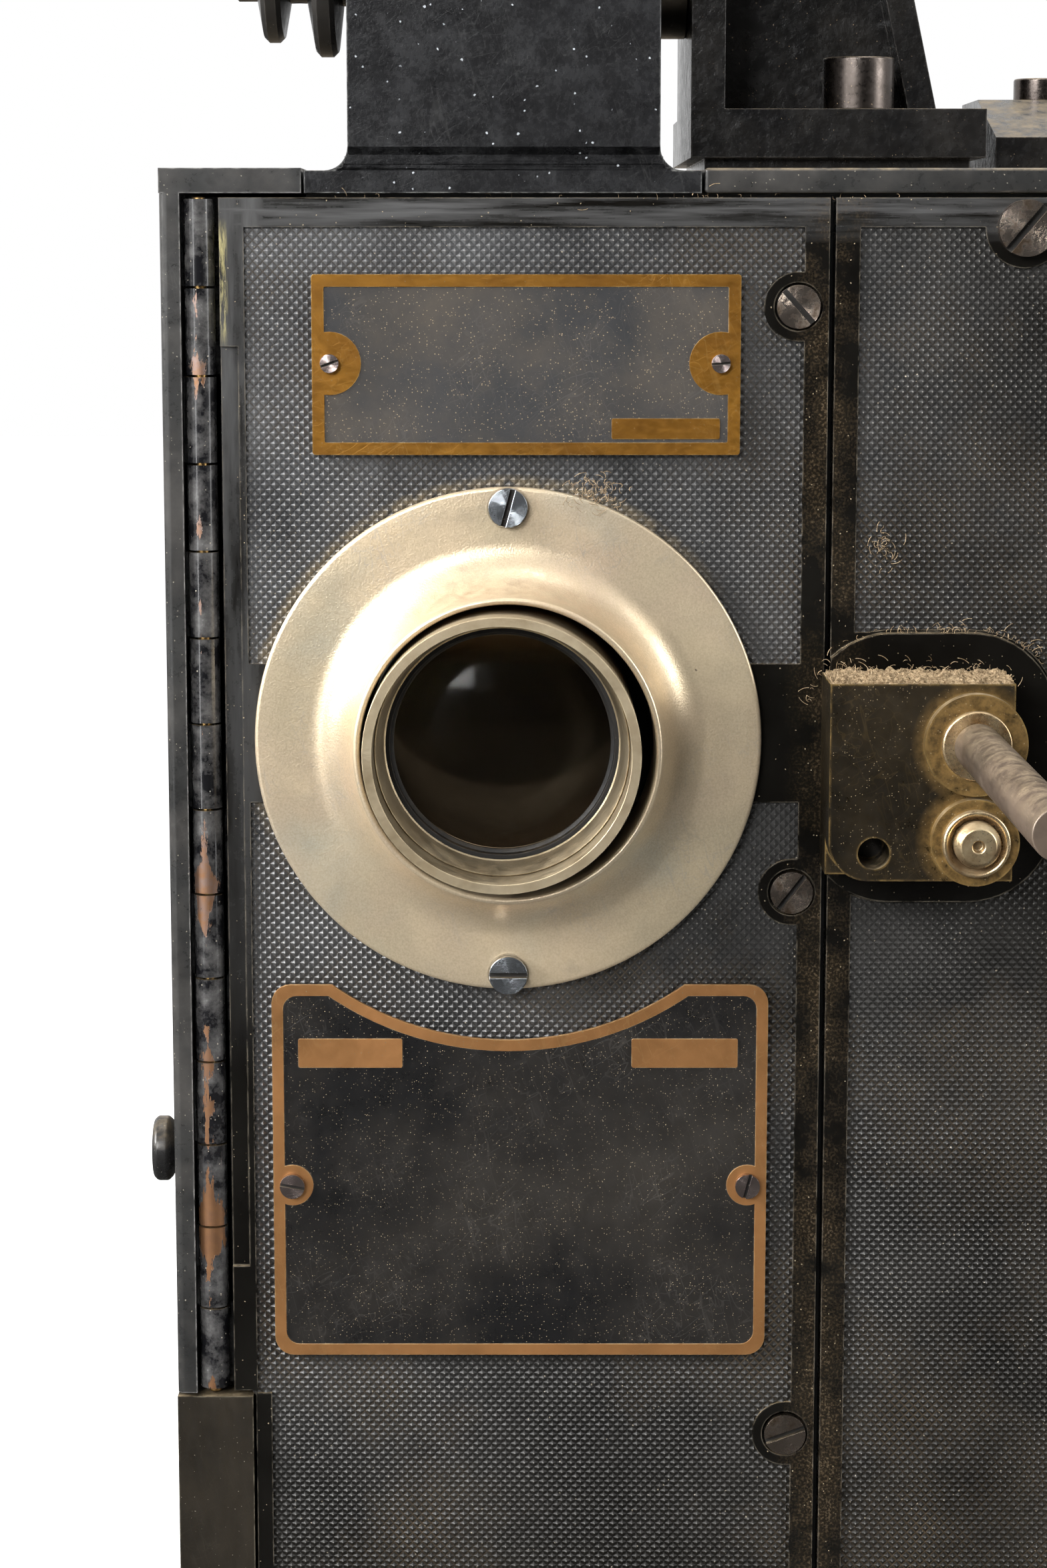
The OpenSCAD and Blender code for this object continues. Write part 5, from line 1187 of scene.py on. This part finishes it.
def ledgeLint():
    look, height = lint["ledge"], lensCover[1].z
    low = (lensCover[0].x + look["left"], frontY, height)
    high = (gearCover[1].x - look["right"], frontY + look["deep"], height)
    layThreads("ledge_lint", alongTop(low, high, look["count"], look["rise"]), "housing", look["lean"])


blockLint()
padLint()
layThreads("collar_lint", cluster(lint["collar"]), "housing")
layThreads("knurl_lint", cluster(lint["knurl"]), "housing")
ledgeLint()
print("lint laid")


# Floor, light and camera

studio = {"floor": 8.0, "drop": 0.2 * mm, "front": 0.03, "ambient": 0.15}


def floorFinish():
    material, shader = newFinish("paleFloor")
    paths = addNode("LightPath").outputs
    pale = mixed(noise(3.0, 3.0), (0.7, 0.7, 0.7), (0.74, 0.74, 0.735))
    wire(shader, "Base Color", mixed(paths["Is Glossy Ray"], pale, (0.05, 0.048, 0.045)))
    wire(shader, "Roughness", 0.9)
    wire(shader, "Specular IOR Level", 0.1)
    lift = times(paths["Is Camera Ray"], ranged(longness(here()), 0.2, 0.9, 0.4, 1.0))
    wire(shader, "Emission Color", mixed(lift, (0, 0, 0), (1, 1, 1)))
    wire(shader, "Emission Strength", 1.0)
    return material


floor = formed(bpy.ops.mesh.primitive_grid_add, "studio_floor", x_subdivisions=8, y_subdivisions=8,
               size=studio["floor"], location=(0, studio["floor"] * 0.3, cadBox[0].z - studio["drop"]))
floor.data.materials.append(floorFinish())


def softWorld():  # dark in front of the machine, bright panels to its left, above, to its right and behind
    world = bpy.data.worlds.new("softRoom")
    bpy.context.scene.world = world
    world.use_nodes = True
    work["tree"] = world.node_tree
    back = world.node_tree.nodes["Background"]
    paths = addNode("LightPath").outputs
    parts = partsOf(addNode("TexCoord").outputs["Generated"])
    left = ranged(parts["X"], -0.3, -0.85, 0, 1.6)
    right = ranged(parts["X"], 0.45, 0.95, 0, 0.8)
    top = ranged(parts["Z"], 0.3, 0.85, 0, 1.3)
    behind = ranged(parts["Y"], 0.1, 0.6, 0, 1.0)
    room = larger(larger(left, right), larger(top, behind))
    below = ranged(parts["Z"], -0.1, -0.5, 1, 0.1)
    room = plus(times(room, below), studio["front"])
    mirrored = mixed(room, (0, 0, 0), (1, 1, 1))
    spread = mixed(paths["Is Glossy Ray"], (studio["ambient"],) * 3, mirrored)
    seen = larger(paths["Is Camera Ray"], paths["Is Transmission Ray"])
    wire(back, "Color", mixed(seen, spread, (1, 1, 1)))
    wire(back, "Strength", 1.0)


def softLamp(name, place, aim, size, power, spread=180):
    lamp = bpy.data.lights.new(name, "AREA")
    lamp.shape = "RECTANGLE"
    lamp.size, lamp.size_y = size
    lamp.energy = power
    lamp.spread = math.radians(spread)
    holder = show(bpy.data.objects.new(name, lamp))
    holder.location = place
    holder.rotation_euler = (Vector(aim) - Vector(place)).to_track_quat("-Z", "Y").to_euler()
    return holder


middle = (0, 0, 0.24)
upper = (-0.03, -0.12, 0.4)
softWorld()
softLamp("keyLamp", (-1.6, -0.5, 1.05), upper, (0.8, 0.8), 15, 70)
softLamp("frontLamp", (-0.75, -1.9, 1.05), upper, (0.7, 0.7), 4.5, 60)
softLamp("stripLamp", (-0.85, -1.05, 0.5), upper, (0.1, 1.0), 3)
softLamp("sideStrip", (1.15, -0.62, 0.35), upper, (0.2, 1.0), 2.5)
softLamp("rightLamp", (1.5, -0.7, 0.9), upper, (0.7, 1.0), 4, 90)
softLamp("topLamp", (0.1, 0.1, 1.7), middle, (1.0, 0.8), 14)

view = {"place": (-38.84 * mm, -809.0 * mm, 376.05 * mm), "tilt": 8.88, "focal": 77.29, "sensor": 36.0}
camera = bpy.data.cameras.new("photoCamera")
camera.sensor_fit = "VERTICAL"
camera.sensor_height = view["sensor"]
camera.lens = view["focal"]
holder = show(bpy.data.objects.new("photoCamera", camera))
holder.location = view["place"]
holder.rotation_euler = (math.radians(90 - view["tilt"]), 0, 0)
bpy.context.scene.camera = holder
bpy.context.scene.view_settings.view_transform = "Standard"
print("stage set")
